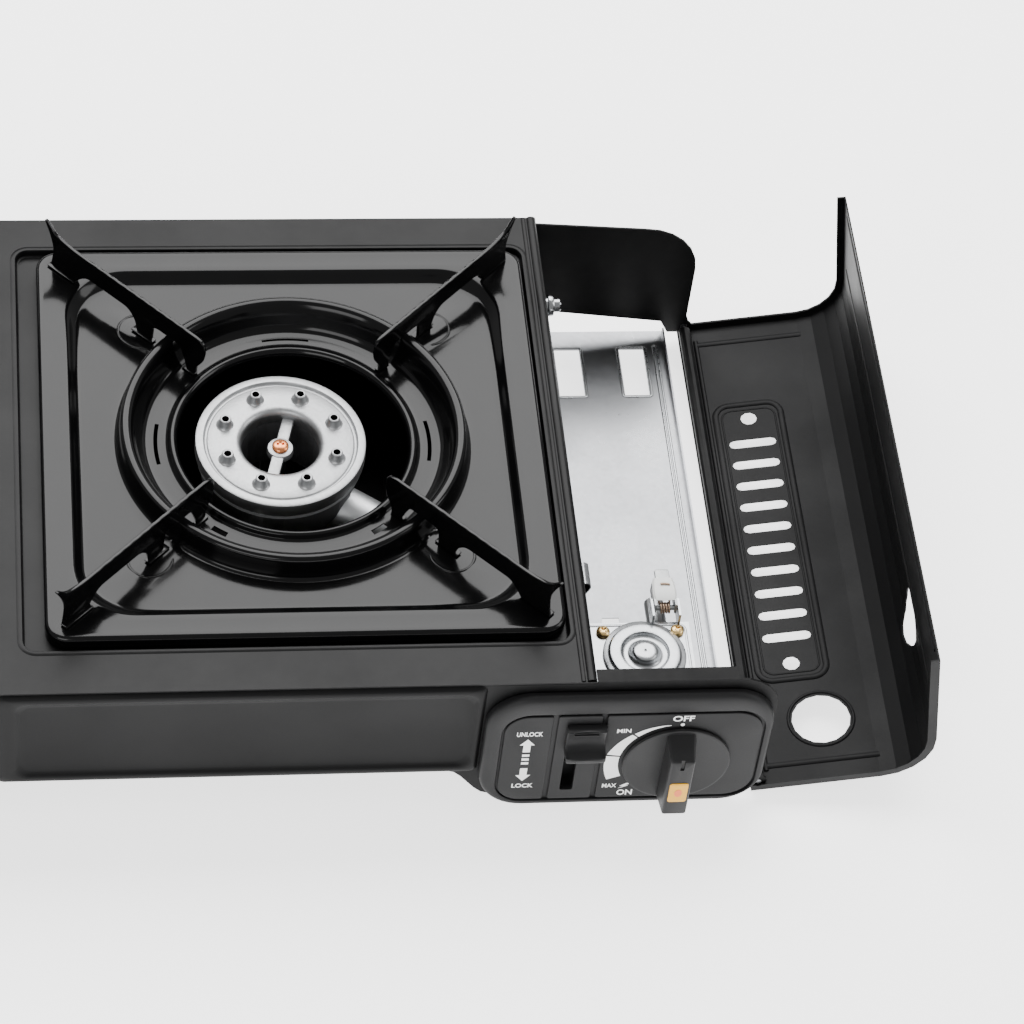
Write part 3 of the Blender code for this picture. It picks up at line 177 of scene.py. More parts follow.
def filleted(points, steps=4):
    """A closed outline whose (x, y, radius) corners are rounded."""
    outline = []
    for i, (x, y, radius) in enumerate(points):
        here = Vector((x, y))
        before, after = Vector(points[i - 1][:2]), Vector(points[(i + 1) % len(points)][:2])
        a, b = before - here, after - here
        reach = min(radius, 0.45 * a.length, 0.45 * b.length)
        start, end = here + a.normalized() * reach, here + b.normalized() * reach
        for step in range(steps + 1):
            t = step / steps
            point = (1 - t) ** 2 * start + 2 * t * (1 - t) * here + t**2 * end
            outline.append((point.x, point.y))
    return outline


# ---- shapes, as bmesh in millimetres ----


def skin(rows, closed=True, caps=False):
    """A skin over rows of equally many points."""
    bm = bmesh.new()
    grid = [[bm.verts.new(point) for point in row] for row in rows]
    count = len(rows[0])
    for near, far in zip(grid, grid[1:]):
        for i in range(count if closed else count - 1):
            j = (i + 1) % count
            bm.faces.new((near[i], near[j], far[j], far[i]))
    if caps:
        bm.faces.new(grid[0][::-1])
        bm.faces.new(grid[-1])
    return bm


def turned(profile, sides=64, closed=False):
    """A turned shape. The (radius, height) profile runs down its outer side."""
    bm = bmesh.new()
    rings = []
    for radius, height in profile:
        if radius == 0:
            rings.append([bm.verts.new((0, 0, height))])
            continue
        rings.append([bm.verts.new((x, y, height)) for x, y in circle(0, 0, radius, sides)])
    pairs = list(zip(rings, rings[1:]))
    if closed:
        pairs.append((rings[-1], rings[0]))
    for upper, lower in pairs:
        for i in range(sides):
            j = (i + 1) % sides
            corners = [upper[i % len(upper)], lower[i % len(lower)]]
            corners += [lower[j % len(lower)], upper[j % len(upper)]]
            corners = list(dict.fromkeys(corners))
            if len(corners) > 2:
                bm.faces.new(corners)
    return bm


def curve_shape(fill_curve):
    """The mesh of a curve or text datablock, which is then removed."""
    obj = bpy.data.objects.new("shape_being_made", fill_curve)
    bpy.context.scene.collection.objects.link(obj)
    graph = bpy.context.evaluated_depsgraph_get()
    mesh = bpy.data.meshes.new_from_object(obj.evaluated_get(graph))
    bm = bmesh.new()
    bm.from_mesh(mesh)
    bmesh.ops.remove_doubles(bm, verts=bm.verts, dist=0.0005)
    bpy.data.objects.remove(obj)
    bpy.data.meshes.remove(mesh)
    return bm


def slab(outlines, thickness, edge=0.0):
    """A flat sheet cut to the first outline, with the others as holes and its edges rounded."""
    flat = bpy.data.curves.new("outline", "CURVE")
    flat.dimensions = "2D"
    flat.fill_mode = "BOTH"
    flat.extrude = thickness / 2 - edge
    flat.bevel_depth = edge
    flat.bevel_resolution = 2
    flat.offset = -edge
    for outline in outlines:
        spline = flat.splines.new("POLY")
        spline.points.add(len(outline) - 1)
        spline.use_cyclic_u = True
        for point, (x, y) in zip(spline.points, outline):
            point.co = (x, y, 0, 1)
    return curve_shape(flat)


def wire(points, radius, cyclic=False, smooth=4):
    """A round wire through the points, on a smooth curve."""
    path = bpy.data.curves.new("wire", "CURVE")
    path.dimensions = "3D"
    path.bevel_depth = radius
    path.bevel_resolution = 4
    path.use_fill_caps = not cyclic
    points = [Vector(point) for point in points]
    if smooth > 1:
        points = smooth_path(points, smooth)
    spline = path.splines.new("POLY")
    spline.points.add(len(points) - 1)
    spline.use_cyclic_u = cyclic
    for spline_point, point in zip(spline.points, points):
        spline_point.co = (*point, 1)
    return curve_shape(path)


def smooth_path(points, steps):
    padded = [2 * points[0] - points[1], *points, 2 * points[-1] - points[-2]]
    path = []
    for a, b, c, d in zip(padded, padded[1:], padded[2:], padded[3:]):
        for step in range(steps):
            t = step / steps
            path.append(
                0.5 * (2 * b + (c - a) * t + (2 * a - 5 * b + 4 * c - d) * t**2)
                + 0.5 * (3 * b - a - 3 * c + d) * t**3
            )
    return [*path, points[-1]]


def block(low, high, edge=0.5):
    """A block between two corners, with rounded edges."""
    low, high = Vector(low), Vector(high)
    bm = bmesh.new()
    bmesh.ops.create_cube(bm, size=1.0)
    matrix = Matrix.LocRotScale((low + high) / 2, None, high - low)
    bmesh.ops.transform(bm, matrix=matrix, verts=bm.verts)
    bmesh.ops.bevel(bm, geom=bm.edges[:], offset=edge, segments=2, profile=0.5, affect="EDGES")
    return bm


def bead(outline, width, height, closed=True):
    """A low half-round ridge that follows an outline on the z = 0 plane."""
    rows = []
    count = len(outline)
    for i, here in enumerate(outline):
        here = Vector(here)
        before = Vector(outline[i - 1] if closed or i else outline[i])
        after = Vector(outline[(i + 1) % count] if closed or i < count - 1 else outline[i])
        along = (after - before).normalized()
        across = Vector((along.y, -along.x))
        row = []
        for step in range(7):
            turn = math.pi * step / 6
            place = here + across * (math.cos(turn) * width / 2)
            row.append((place.x, place.y, height * math.sin(turn)))
        rows.append(row)
    if closed:
        rows.append(rows[0])
    bm = skin(rows, closed=False)
    bmesh.ops.remove_doubles(bm, verts=bm.verts, dist=0.0001)
    return bm


def moved(bm, matrix):
    bmesh.ops.transform(bm, matrix=matrix, verts=bm.verts)
    return bm


def gathered(*shapes):
    """Several shapes as one, with their material numbers kept."""
    total = bmesh.new()
    for shape in shapes:
        mesh = bpy.data.meshes.new("gathered")
        shape.to_mesh(mesh)
        shape.free()
        total.from_mesh(mesh)
        bpy.data.meshes.remove(mesh)
    return total


def tinted(bm, number):
    """Gives every face of a shape this material number."""
    for face in bm.faces:
        face.material_index = number
    return bm


def carved(bm, *tools):
    """A shape with the tool shapes cut out of it."""
    body = temporary(bm)
    cutters = [temporary(tool) for tool in tools]
    for cutter in cutters:
        boolean = body.modifiers.new("cut", "BOOLEAN")
        boolean.operation = "DIFFERENCE"
        boolean.solver = "EXACT"
        boolean.object = cutter
    return settled(body, cutters)


def sheeted(bm, thickness, offset=-1):
    body = temporary(bm)
    solid = body.modifiers.new("sheet", "SOLIDIFY")
    solid.thickness = thickness
    solid.offset = offset
    return settled(body)


def temporary(bm):
    mesh = bpy.data.meshes.new("shape_being_made")
    bm.to_mesh(mesh)
    bm.free()
    obj = bpy.data.objects.new("shape_being_made", mesh)
    bpy.context.scene.collection.objects.link(obj)
    return obj


def settled(body, others=()):
    graph = bpy.context.evaluated_depsgraph_get()
    mesh = bpy.data.meshes.new_from_object(body.evaluated_get(graph))
    bm = bmesh.new()
    bm.from_mesh(mesh)
    bpy.data.meshes.remove(mesh)
    for obj in (body, *others):
        data = obj.data
        bpy.data.objects.remove(obj)
        bpy.data.meshes.remove(data)
    return bm


def phillips(radius, height, shank=0.0):
    """A domed screw head with a cross recess, standing on z = 0."""
    profile = [(0, height)]
    for turn in (20, 38, 55, 70, 82):
        lean = math.radians(turn)
        profile.append((radius * math.sin(lean), height * (0.35 + 0.65 * math.cos(lean))))
    profile += [(radius, 0.3 * height), (radius, 0)]
    if shank:
        profile += [(shank, 0), (shank, -1.2)]
    profile.append((0, profile[-1][1]))
    head = turned(profile, 40)
    reach, width, depth = 0.58 * radius, 0.17 * radius, 0.42 * height
    arms = []
    for long, short in ((reach, width), (width, reach)):
        rows = []
        for share, z in ((0.45, height - depth), (1.0, height + 0.3)):
            x, y = long * (share if long > short else 1), short * (share if short > long else 1)
            rows.append([(-x, -y, z), (x, -y, z), (x, y, z), (-x, y, z)])
        arms.append(skin(rows, caps=True))
    return carved(head, *arms)


def lettering(words, height, width):
    """Words as thin raised print of this height and width, drawn in (x, y) about their middle."""
    text = bpy.data.curves.new("words", "FONT")
    text.body = words
    text.size = height / CAPITAL_SHARE
    text.align_x = "CENTER"
    text.align_y = "CENTER"
    text.extrude = 0.04
    text.offset = 0.028 * height
    text.resolution_u = 6
    bm = curve_shape(text)
    places = [vert.co.x for vert in bm.verts]
    return moved(bm, Matrix.Diagonal((width / (max(places) - min(places)), 1, 1, 1)))


# ---- placing ----


def body_of(body, side):
    return body if body == "stove_body" else f"{body}_{side}"


def place(name, bm, body, finish, slot, replaces=(), matrix=None, side=None, angle=35):
    """Makes one object of a shape, in metres, riding on its body."""
    mesh = bpy.data.meshes.new(name)
    bm.to_mesh(mesh)
    mesh.transform(Matrix.Scale(MM, 4) @ (matrix or Matrix.Identity(4)))
    for material in finish if isinstance(finish, tuple) else (finish,):
        mesh.materials.append(bpy.data.materials[material])
    mesh.shade_smooth()
    mesh.set_sharp_from_angle(angle=math.radians(angle))
    piece = bpy.data.objects.new(name, mesh)
    bpy.context.scene.collection.objects.link(piece)
    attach(piece, body_of(body, side))
    if replaces:
        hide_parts(*replaces)
    return piece


def place_pair(name, bm, body, finish, slot, replaces=(), matrix=None, angle=35):
    """A right-hand piece and its mirror image."""
    matrix = matrix or Matrix.Identity(4)
    for side in SIDES:
        turn = matrix if side == "right" else MIRROR @ matrix
        nodes = [f"{node}_{side}" for node in replaces]
        piece = place(f"{name}_{side}", bm, body, finish, slot, nodes, turn, side, angle)
        if side == "left":
            piece.data.flip_normals()
    bm.free()


def dress(finish, *nodes):
    """Gives carried-over nodes a finish, on both sides where a name stands for a pair."""
    for node in nodes:
        names = [node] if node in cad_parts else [f"{node}_{side}" for side in SIDES]
        for name in names:
            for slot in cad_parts[name].material_slots:
                slot.material = bpy.data.materials[finish]


# ---- effects that several finishes share ----


def new_effect(name, inputs, outputs):
    """An empty shader group with named sockets. Inputs are (name, type, default)."""
    group = bpy.data.node_groups.new(name, "ShaderNodeTree")
    for socket_name, kind, default in inputs:
        socket = group.interface.new_socket(socket_name, in_out="INPUT", socket_type=kind)
        socket.default_value = default
    for socket_name, kind in outputs:
        group.interface.new_socket(socket_name, in_out="OUTPUT", socket_type=kind)
    return group, group.nodes.new("NodeGroupInput"), group.nodes.new("NodeGroupOutput")


def add_noise(tree, detail, vector, scale):
    noise = tree.nodes.new("ShaderNodeTexNoise")
    noise.inputs["Detail"].default_value = detail
    tree.links.new(vector, noise.inputs["Vector"])
    if isinstance(scale, (int, float)):
        noise.inputs["Scale"].default_value = scale
    else:
        tree.links.new(scale, noise.inputs["Scale"])
    return noise


def add_range(tree, value, low, high, to_low=0.0, to_high=1.0):
    fit = tree.nodes.new("ShaderNodeMapRange")
    for socket, setting in zip(fit.inputs, (value, low, high, to_low, to_high)):
        if isinstance(setting, (int, float)):
            socket.default_value = setting
        else:
            tree.links.new(setting, socket)
    return fit.outputs["Result"]


def add_product(tree, first, second):
    multiply = tree.nodes.new("ShaderNodeMath")
    multiply.operation = "MULTIPLY"
    tree.links.new(first, multiply.inputs[0])
    if isinstance(second, (int, float)):
        multiply.inputs[1].default_value = second
    else:
        tree.links.new(second, multiply.inputs[1])
    return multiply.outputs[0]


def make_tone_drift():
    """Slow change of tone over a surface, from thin paint, heat and handling."""
    inputs = (("Colour", "NodeSocketColor", (0.5, 0.5, 0.5, 1)),
              ("Other Colour", "NodeSocketColor", (0.4, 0.4, 0.4, 1)))
    inputs += (("Scale", "NodeSocketFloat", 12.0),)
    group, enter, leave = new_effect("tone_drift", inputs, (("Colour", "NodeSocketColor"),))
    place_of = group.nodes.new("ShaderNodeTexCoord").outputs["Object"]
    noise = add_noise(group, 3.0, place_of, enter.outputs["Scale"])
    share = add_range(group, noise.outputs["Fac"], 0.35, 0.65)
    mix = group.nodes.new("ShaderNodeMixRGB")
    group.links.new(share, mix.inputs["Fac"])
    group.links.new(enter.outputs["Colour"], mix.inputs["Color1"])
    group.links.new(enter.outputs["Other Colour"], mix.inputs["Color2"])
    group.links.new(mix.outputs["Color"], leave.inputs["Colour"])


def make_fine_grain():
    """Fine texture of a finish: its height, and roughness that varies with it and more slowly."""
    inputs = (("Scale", "NodeSocketFloat", 900.0), ("Smoothest", "NodeSocketFloat", 0.3))
    inputs += (("Roughest", "NodeSocketFloat", 0.5),)
    outputs = (("Height", "NodeSocketFloat"), ("Roughness", "NodeSocketFloat"))
    group, enter, leave = new_effect("fine_grain", inputs, outputs)
    place_of = group.nodes.new("ShaderNodeTexCoord").outputs["Object"]
    grain = add_noise(group, 2.0, place_of, enter.outputs["Scale"])
    slow = add_noise(group, 3.0, place_of, 22.0)
    blend = group.nodes.new("ShaderNodeMath")
    blend.operation = "MULTIPLY_ADD"
    group.links.new(grain.outputs["Fac"], blend.inputs[0])
    blend.inputs[1].default_value = 0.4
    group.links.new(add_product(group, slow.outputs["Fac"], 0.6), blend.inputs[2])
    rough = add_range(
        group, blend.outputs[0], 0.35, 0.65, enter.outputs["Smoothest"], enter.outputs["Roughest"]
    )
    group.links.new(grain.outputs["Fac"], leave.inputs["Height"])
    group.links.new(rough, leave.inputs["Roughness"])


def make_worn_edges():
    """Mask of the convex edges, broken up by noise, where a finish is rubbed."""
    inputs = (("Amount", "NodeSocketFloat", 0.3),)
    group, enter, leave = new_effect("worn_edges", inputs, (("Mask", "NodeSocketFloat"),))
    point = group.nodes.new("ShaderNodeNewGeometry").outputs["Pointiness"]
    place_of = group.nodes.new("ShaderNodeTexCoord").outputs["Object"]
    noise = add_noise(group, 4.0, place_of, 160.0)
    edge = add_range(group, point, 0.53, 0.66)
    broken = add_product(group, edge, add_range(group, noise.outputs["Fac"], 0.4, 0.7))
    group.links.new(add_product(group, broken, enter.outputs["Amount"]), leave.inputs["Mask"])


def make_settled_dust():
    """Mask of light dust on what faces up."""
    inputs = (("Amount", "NodeSocketFloat", 0.1),)
    group, enter, leave = new_effect("settled_dust", inputs, (("Mask", "NodeSocketFloat"),))
    normal = group.nodes.new("ShaderNodeNewGeometry").outputs["Normal"]
    split = group.nodes.new("ShaderNodeSeparateXYZ")
    group.links.new(normal, split.inputs[0])
    place_of = group.nodes.new("ShaderNodeTexCoord").outputs["Object"]
    noise = add_noise(group, 5.0, place_of, 55.0)
    upward = add_range(group, split.outputs["Z"], 0.5, 1.0)
    patchy = add_product(group, upward, add_range(group, noise.outputs["Fac"], 0.42, 0.75))
    group.links.new(add_product(group, patchy, enter.outputs["Amount"]), leave.inputs["Mask"])


def make_spangle():
    """Crystal pattern of zinc-coated sheet, as a tone from 0 to 1."""
    inputs = (("Scale", "NodeSocketFloat", 160.0),)
    group, enter, leave = new_effect("spangle", inputs, (("Tone", "NodeSocketFloat"),))
    place_of = group.nodes.new("ShaderNodeTexCoord").outputs["Object"]
    cells = group.nodes.new("ShaderNodeTexVoronoi")
    group.links.new(place_of, cells.inputs["Vector"])
    group.links.new(enter.outputs["Scale"], cells.inputs["Scale"])
    split = group.nodes.new("ShaderNodeSeparateColor")
    group.links.new(cells.outputs["Color"], split.inputs[0])
    group.links.new(split.outputs[0], leave.inputs["Tone"])


def use_effect(tree, name, **settings):
    node = tree.nodes.new("ShaderNodeGroup")
    node.node_tree = bpy.data.node_groups[name]
    for socket, value in settings.items():
        node.inputs[socket.replace("_", " ")].default_value = value
    return node


def finish(name, tone, other=None, metal=0.0, rough=(0.3, 0.5), grain=900.0, depth=0.02, drift=12.0,
           worn=None, wear=0.0, dust=0.0, coat=None, specular=0.5, spangle=0.0):
    """A finish: drifting tone, grain in its height and roughness, rubbed edges and settled dust."""
    material = bpy.data.materials.new(name)
    material.use_nodes = True
    tree = material.node_tree
    shader = tree.nodes["Principled BSDF"]
    other = other or tuple(0.94 * channel for channel in tone)
    material.diffuse_color = (*tone, 1)
    base = use_effect(tree, "tone_drift", Colour=(*tone, 1), Other_Colour=(*other, 1), Scale=drift)
    mixed = base.outputs["Colour"]
    layers = []
    if spangle:
        crystals = use_effect(tree, "spangle", Scale=SPANGLE_SCALE)
        layers.append((add_product(tree, crystals.outputs["Tone"], spangle),
                       tuple(SPANGLE_SHARE * c for c in tone)))
    if wear:
        layers.append((use_effect(tree, "worn_edges", Amount=wear).outputs["Mask"],
                       worn or WORN_TONE))
    if dust:
        layers.append((use_effect(tree, "settled_dust", Amount=dust).outputs["Mask"],
                       DUST_TONE))
    for mask, layer_tone in layers:
        mix = tree.nodes.new("ShaderNodeMixRGB")
        tree.links.new(mask, mix.inputs["Fac"])
        tree.links.new(mixed, mix.inputs["Color1"])
        mix.inputs["Color2"].default_value = (*layer_tone, 1)
        mixed = mix.outputs["Color"]
    tree.links.new(mixed, shader.inputs["Base Color"])
    texture = use_effect(tree, "fine_grain", Scale=grain, Smoothest=rough[0], Roughest=rough[1])
    tree.links.new(texture.outputs["Roughness"], shader.inputs["Roughness"])
    bump = tree.nodes.new("ShaderNodeBump")
    bump.inputs["Strength"].default_value = GRAIN_STRENGTH
    bump.inputs["Distance"].default_value = depth * MM
    tree.links.new(texture.outputs["Height"], bump.inputs["Height"])
    tree.links.new(bump.outputs["Normal"], shader.inputs["Normal"])
    shader.inputs["Metallic"].default_value = metal
    shader.inputs["Specular IOR Level"].default_value = specular
    if coat:
        shader.inputs["Coat Weight"].default_value = coat[0]
        shader.inputs["Coat Roughness"].default_value = coat[1]
    return material


class StoveOperator(bpy.types.Operator):
    """Base of the stove's operators."""

    bl_options = {"REGISTER", "UNDO"}


class STOVE_OT_finishes(StoveOperator):
    """Makes the shared effects and every finish of the stove"""

    bl_idname = "stove.finishes"
    bl_label = "Finishes"

    def execute(self, context):
        for make in (make_tone_drift, make_fine_grain, make_worn_edges, make_settled_dust,
                     make_spangle):
            make()
        paint, enamel = colour("paint"), colour("enamel")
        rubbed = (0.03, 0.03, 0.03)
        finish("satin_paint", paint, rough=(0.30, 0.40), grain=1400, depth=0.025, worn=rubbed,
               wear=0.2, dust=0.006,
               specular=0.14)
        finish("wall_paint", paint, rough=(0.40, 0.52), grain=1400, depth=0.025, worn=rubbed,
               wear=0.2, dust=0.005,
               specular=0.10)
        finish("lid_paint", (0.0050, 0.0050, 0.0053), rough=(0.42, 0.55), grain=1500, depth=0.03,
               worn=rubbed, wear=0.25,
               specular=0.13)
        finish("gloss_enamel", enamel, rough=(0.10, 0.16), grain=60, depth=0.012, dust=0.004,
               coat=(0.05, 0.05),
               specular=0.22)
        finish("blade_enamel", enamel, rough=(0.10, 0.17), grain=220, depth=0.04, coat=(0.08, 0.06),
               specular=0.25)
        finish("cast_burner", colour("casting"), metal=1.0, rough=(0.36, 0.52), grain=900,
               depth=0.09, wear=0.3,
               worn=(0.78, 0.78, 0.78))
        # Near-black painted shade for the inside of each port's bore, where the narrow hole is in
        # shade
        finish("sooted_port", (0.006, 0.006, 0.006), rough=(0.7, 0.9), specular=0.1)
        finish("dark_casting", (0.16, 0.16, 0.165), metal=0.8, rough=(0.45, 0.65), grain=700,
               depth=0.06)
        finish("feed_tube", (0.60, 0.61, 0.62), metal=0.9, rough=(0.38, 0.52), grain=800,
               depth=0.03)
        finish("zinc_sheet", colour("zinc"), metal=1.0, rough=(0.26, 0.38), grain=500, depth=0.012,
               spangle=0.14)
        finish("bright_zinc", (0.38, 0.39, 0.40), metal=1.0, rough=(0.20, 0.34), grain=500,
               depth=0.012)
        finish("polished_steel", (0.70, 0.71, 0.72), metal=1.0, rough=(0.10, 0.20), grain=700,
               depth=0.01)
        finish("retainer_white", (0.80, 0.81, 0.79), rough=(0.32, 0.45), grain=900, depth=0.02)
        finish("dull_steel", (0.36, 0.37, 0.37), metal=0.8, rough=(0.35, 0.50), grain=700,
               depth=0.02)
        finish("spring_wire", (0.42, 0.30, 0.22), metal=0.9, rough=(0.28, 0.42), grain=900,
               depth=0.02)
        finish("screw_brass", (0.80, 0.56, 0.24), metal=1.0, rough=(0.22, 0.36), grain=700,
               depth=0.02)
        finish("screw_copper", (0.75, 0.28, 0.12), metal=1.0, rough=(0.22, 0.36), grain=700,
               depth=0.02)
        finish("screw_black", (0.035, 0.035, 0.035), metal=0.6, rough=(0.22, 0.34), grain=700,
               depth=0.02)
        finish("glazed_ceramic", (0.86, 0.85, 0.80), rough=(0.16, 0.30), grain=500, depth=0.01,
               coat=(0.5, 0.05))
        finish("moulded_plastic", colour("plastic"), rough=(0.44, 0.58), grain=1600, depth=0.04,
               worn=rubbed, wear=0.12,
               specular=0.2)
        finish("panel_plate", (0.0125, 0.0125, 0.013), rough=(0.50, 0.62), grain=1800, depth=0.04,
               specular=0.2)
        finish("knob_plastic", (0.011, 0.011, 0.0115), rough=(0.40, 0.55), grain=1700, depth=0.04,
               worn=rubbed, wear=0.15,
               specular=0.22)
        finish("foot_rubber", (0.022, 0.022, 0.022), rough=(0.7, 0.85), grain=1200, depth=0.04)
        finish("lead_sleeve_green", (0.50, 0.56, 0.10), rough=(0.35, 0.5), grain=900, depth=0.02)
        ink, badge, mark = colour("print_ink"), colour("badge"), colour("badge_mark")
        finish("printing_ink", ink, tuple(0.96 * c for c in ink), rough=(0.5, 0.6), grain=1500,
               depth=0.01)
        finish("badge_yellow", badge, tuple(0.95 * c for c in badge), rough=(0.3, 0.4), grain=1200,
               depth=0.01)
        finish("badge_mark_red", mark, tuple(0.93 * c for c in mark), rough=(0.3, 0.4), grain=1200,
               depth=0.01)
        return {"FINISHED"}


# ---- body and deck ----


class STOVE_OT_body(StoveOperator):
    """Deck edges, pressed front, screw, tabs and the plain body pieces"""

    bl_idname = "stove.body"
    bl_label = "Body and deck"

    def execute(self, context):
        dress("satin_paint", "top_plate")
        dress("wall_paint", "base_shell")
        dress("foot_rubber", "foot_front", "foot_back")
        self.make_recess_lips()
        self.make_deck_beads()
        self.make_front_pressing()
        self.make_well_shield()
        head = phillips(3.4, 2.2)
        place("front_screw", head, "stove_body", "screw_black", "body_paint",
              matrix=spot(0, -138.1, 79) @ FACE_OUT)
        head.free()
        return {"FINISHED"}

    def make_recess_lips(self):
        """A rolled edge around the sunk square that a pan stands in, and its floor's edge."""
        rings = ((2.4, 88.02), (1.6, 88.30), (0.8, 88.42), (0.1, 88.25), (-0.3, 87.7),
                 (-0.45, 86.5), (-0.5, 85.1),
                 (-0.9, 84.75), (-1.3, 84.68))
        rows = []
        for grow, z in rings:
            outline = round_rectangle(13 - grow, 251 + grow, -115.5 - grow, 118.5 + grow, 6 + grow,
                                      8)
            rows.append([(x, y, z) for x, y in outline])
        place_pair("recess_lip", skin(rows), "stove_body", "satin_paint", "body_paint",
                   matrix=spot(0, 0, 0))

    def make_deck_beads(self):
        """The deck's folded side edge: a fine roll, a groove, a wider roll and a bent tab."""
        profile = ((253.0, 88.02), (253.5, 88.45), (254.1, 88.55), (254.7, 88.4), (255.0, 88.03),
                   (255.7, 88.03),
                   (255.9, 88.6), (256.6, 89.1), (257.7, 89.3), (258.9, 89.05), (259.7, 88.4),
                   (259.95, 87.6))
        rows = [[(x, y, z) for x,
                 z in profile] for y in [-137.6 + 275.2 * i / 24 for i in range(25)]]
        bm = skin(rows, closed=False)
        place_pair("deck_side_roll", bm, "stove_body", "satin_paint", "body_paint",
                   matrix=spot(0, 0, 0))
        section = ((260.1, 79.0), (260.6, 80.5), (261.6, 82.5), (262.6, 85.0), (262.4, 86.6),
                   (261.4, 87.4), (260.1, 87.6))
        rows = [[(x, y, z) for x, z in section] for y in (-84, -83.2, -72.8, -72)]
        tab = sheeted(skin(rows, closed=False), 0.7)
        place_pair("deck_side_tab", tab, "stove_body", "bright_zinc", "body_paint",
                   matrix=spot(0, 0, 0))

    def make_front_pressing(self):
        """The front wall's wide pressed panel, sunk inside a raised border."""
        rings = ((0.3, 212.4, 24.2, 86.5, 3, -138.06), (1.4, 211.6, 25.2, 85.9, 3, -139.2),
                 (3.0, 210.8, 26.4, 85.2, 4, -139.8), (8.2, 209.8, 28.4, 83.2, 6, -140.0),
                 (9.2, 209.0, 29.2, 82.3, 6, -139.7), (9.8, 208.6, 29.8, 81.6, 6, -139.2),
                 (10.8, 207.2, 30.8, 79.0, 6, -138.35), (11.8, 206.4, 31.6, 78.2, 6, -138.25))
        rows = []
        for x0, x1, z0, z1, corner, y in rings:
            outline = round_rectangle(x0, x1, z0, z1, corner, 8)
            rows.append([(x, y, z) for x, z in outline])
        bm = skin(rows)
        bm.faces.new([vert for vert in list(bm.verts)[-len(rows[0]):]])
        bmesh.ops.recalc_face_normals(bm, faces=bm.faces[:])
        place_pair("front_pressing", bm, "stove_body", "wall_paint", "body_paint",
                   matrix=spot(0, 0, 0))

    def make_well_shield(self):
        """A raised sheet over the floor beside each burner, pressed with two ribs."""
        outline = round_rectangle(163, 240, -96, 96, 6)
        shield = slab([outline], 1.0, 0.3)
        ribs = [moved(slab([round_rectangle(x - 3, x + 3, -78, 78, 3)], 1.6, 0.7),
                      Matrix.Translation((0, 0, 0.6)))
                for x in (186, 215)]
        place_pair("well_shield", gathered(shield, *ribs), "stove_body", "wall_paint", "body_paint",
                   matrix=spot(0, 0, 21))


# ---- drip pans and trivets ----


def pan_ring(half, corner, angles):
    """A round-cornered square sampled at these angles about its middle."""
    inset = half - corner
    points = []
    for angle in angles:
        folded = abs((angle + math.pi / 4) % QUARTER - math.pi / 4)
        reach = half / math.cos(folded)
        if half * math.tan(folded) > inset:
            along = inset * (math.cos(folded) + math.sin(folded))
            reach = along + math.sqrt(max(0.0, along**2 - 2 * inset**2 + corner**2))
        points.append((reach * math.cos(angle), reach * math.sin(angle)))
    return points


def corner_angles(steps):
    """Angles around a square, closer together towards its corners."""
    eighth = [math.pi / 4 * (1 - (1 - i / steps) ** 1.7) for i in range(steps)]
    quarter = eighth + [math.pi / 2 - angle for angle in ([math.pi / 4] + eighth[:0:-1])]
    return [angle + QUARTER * turn for turn in range(4) for angle in quarter]


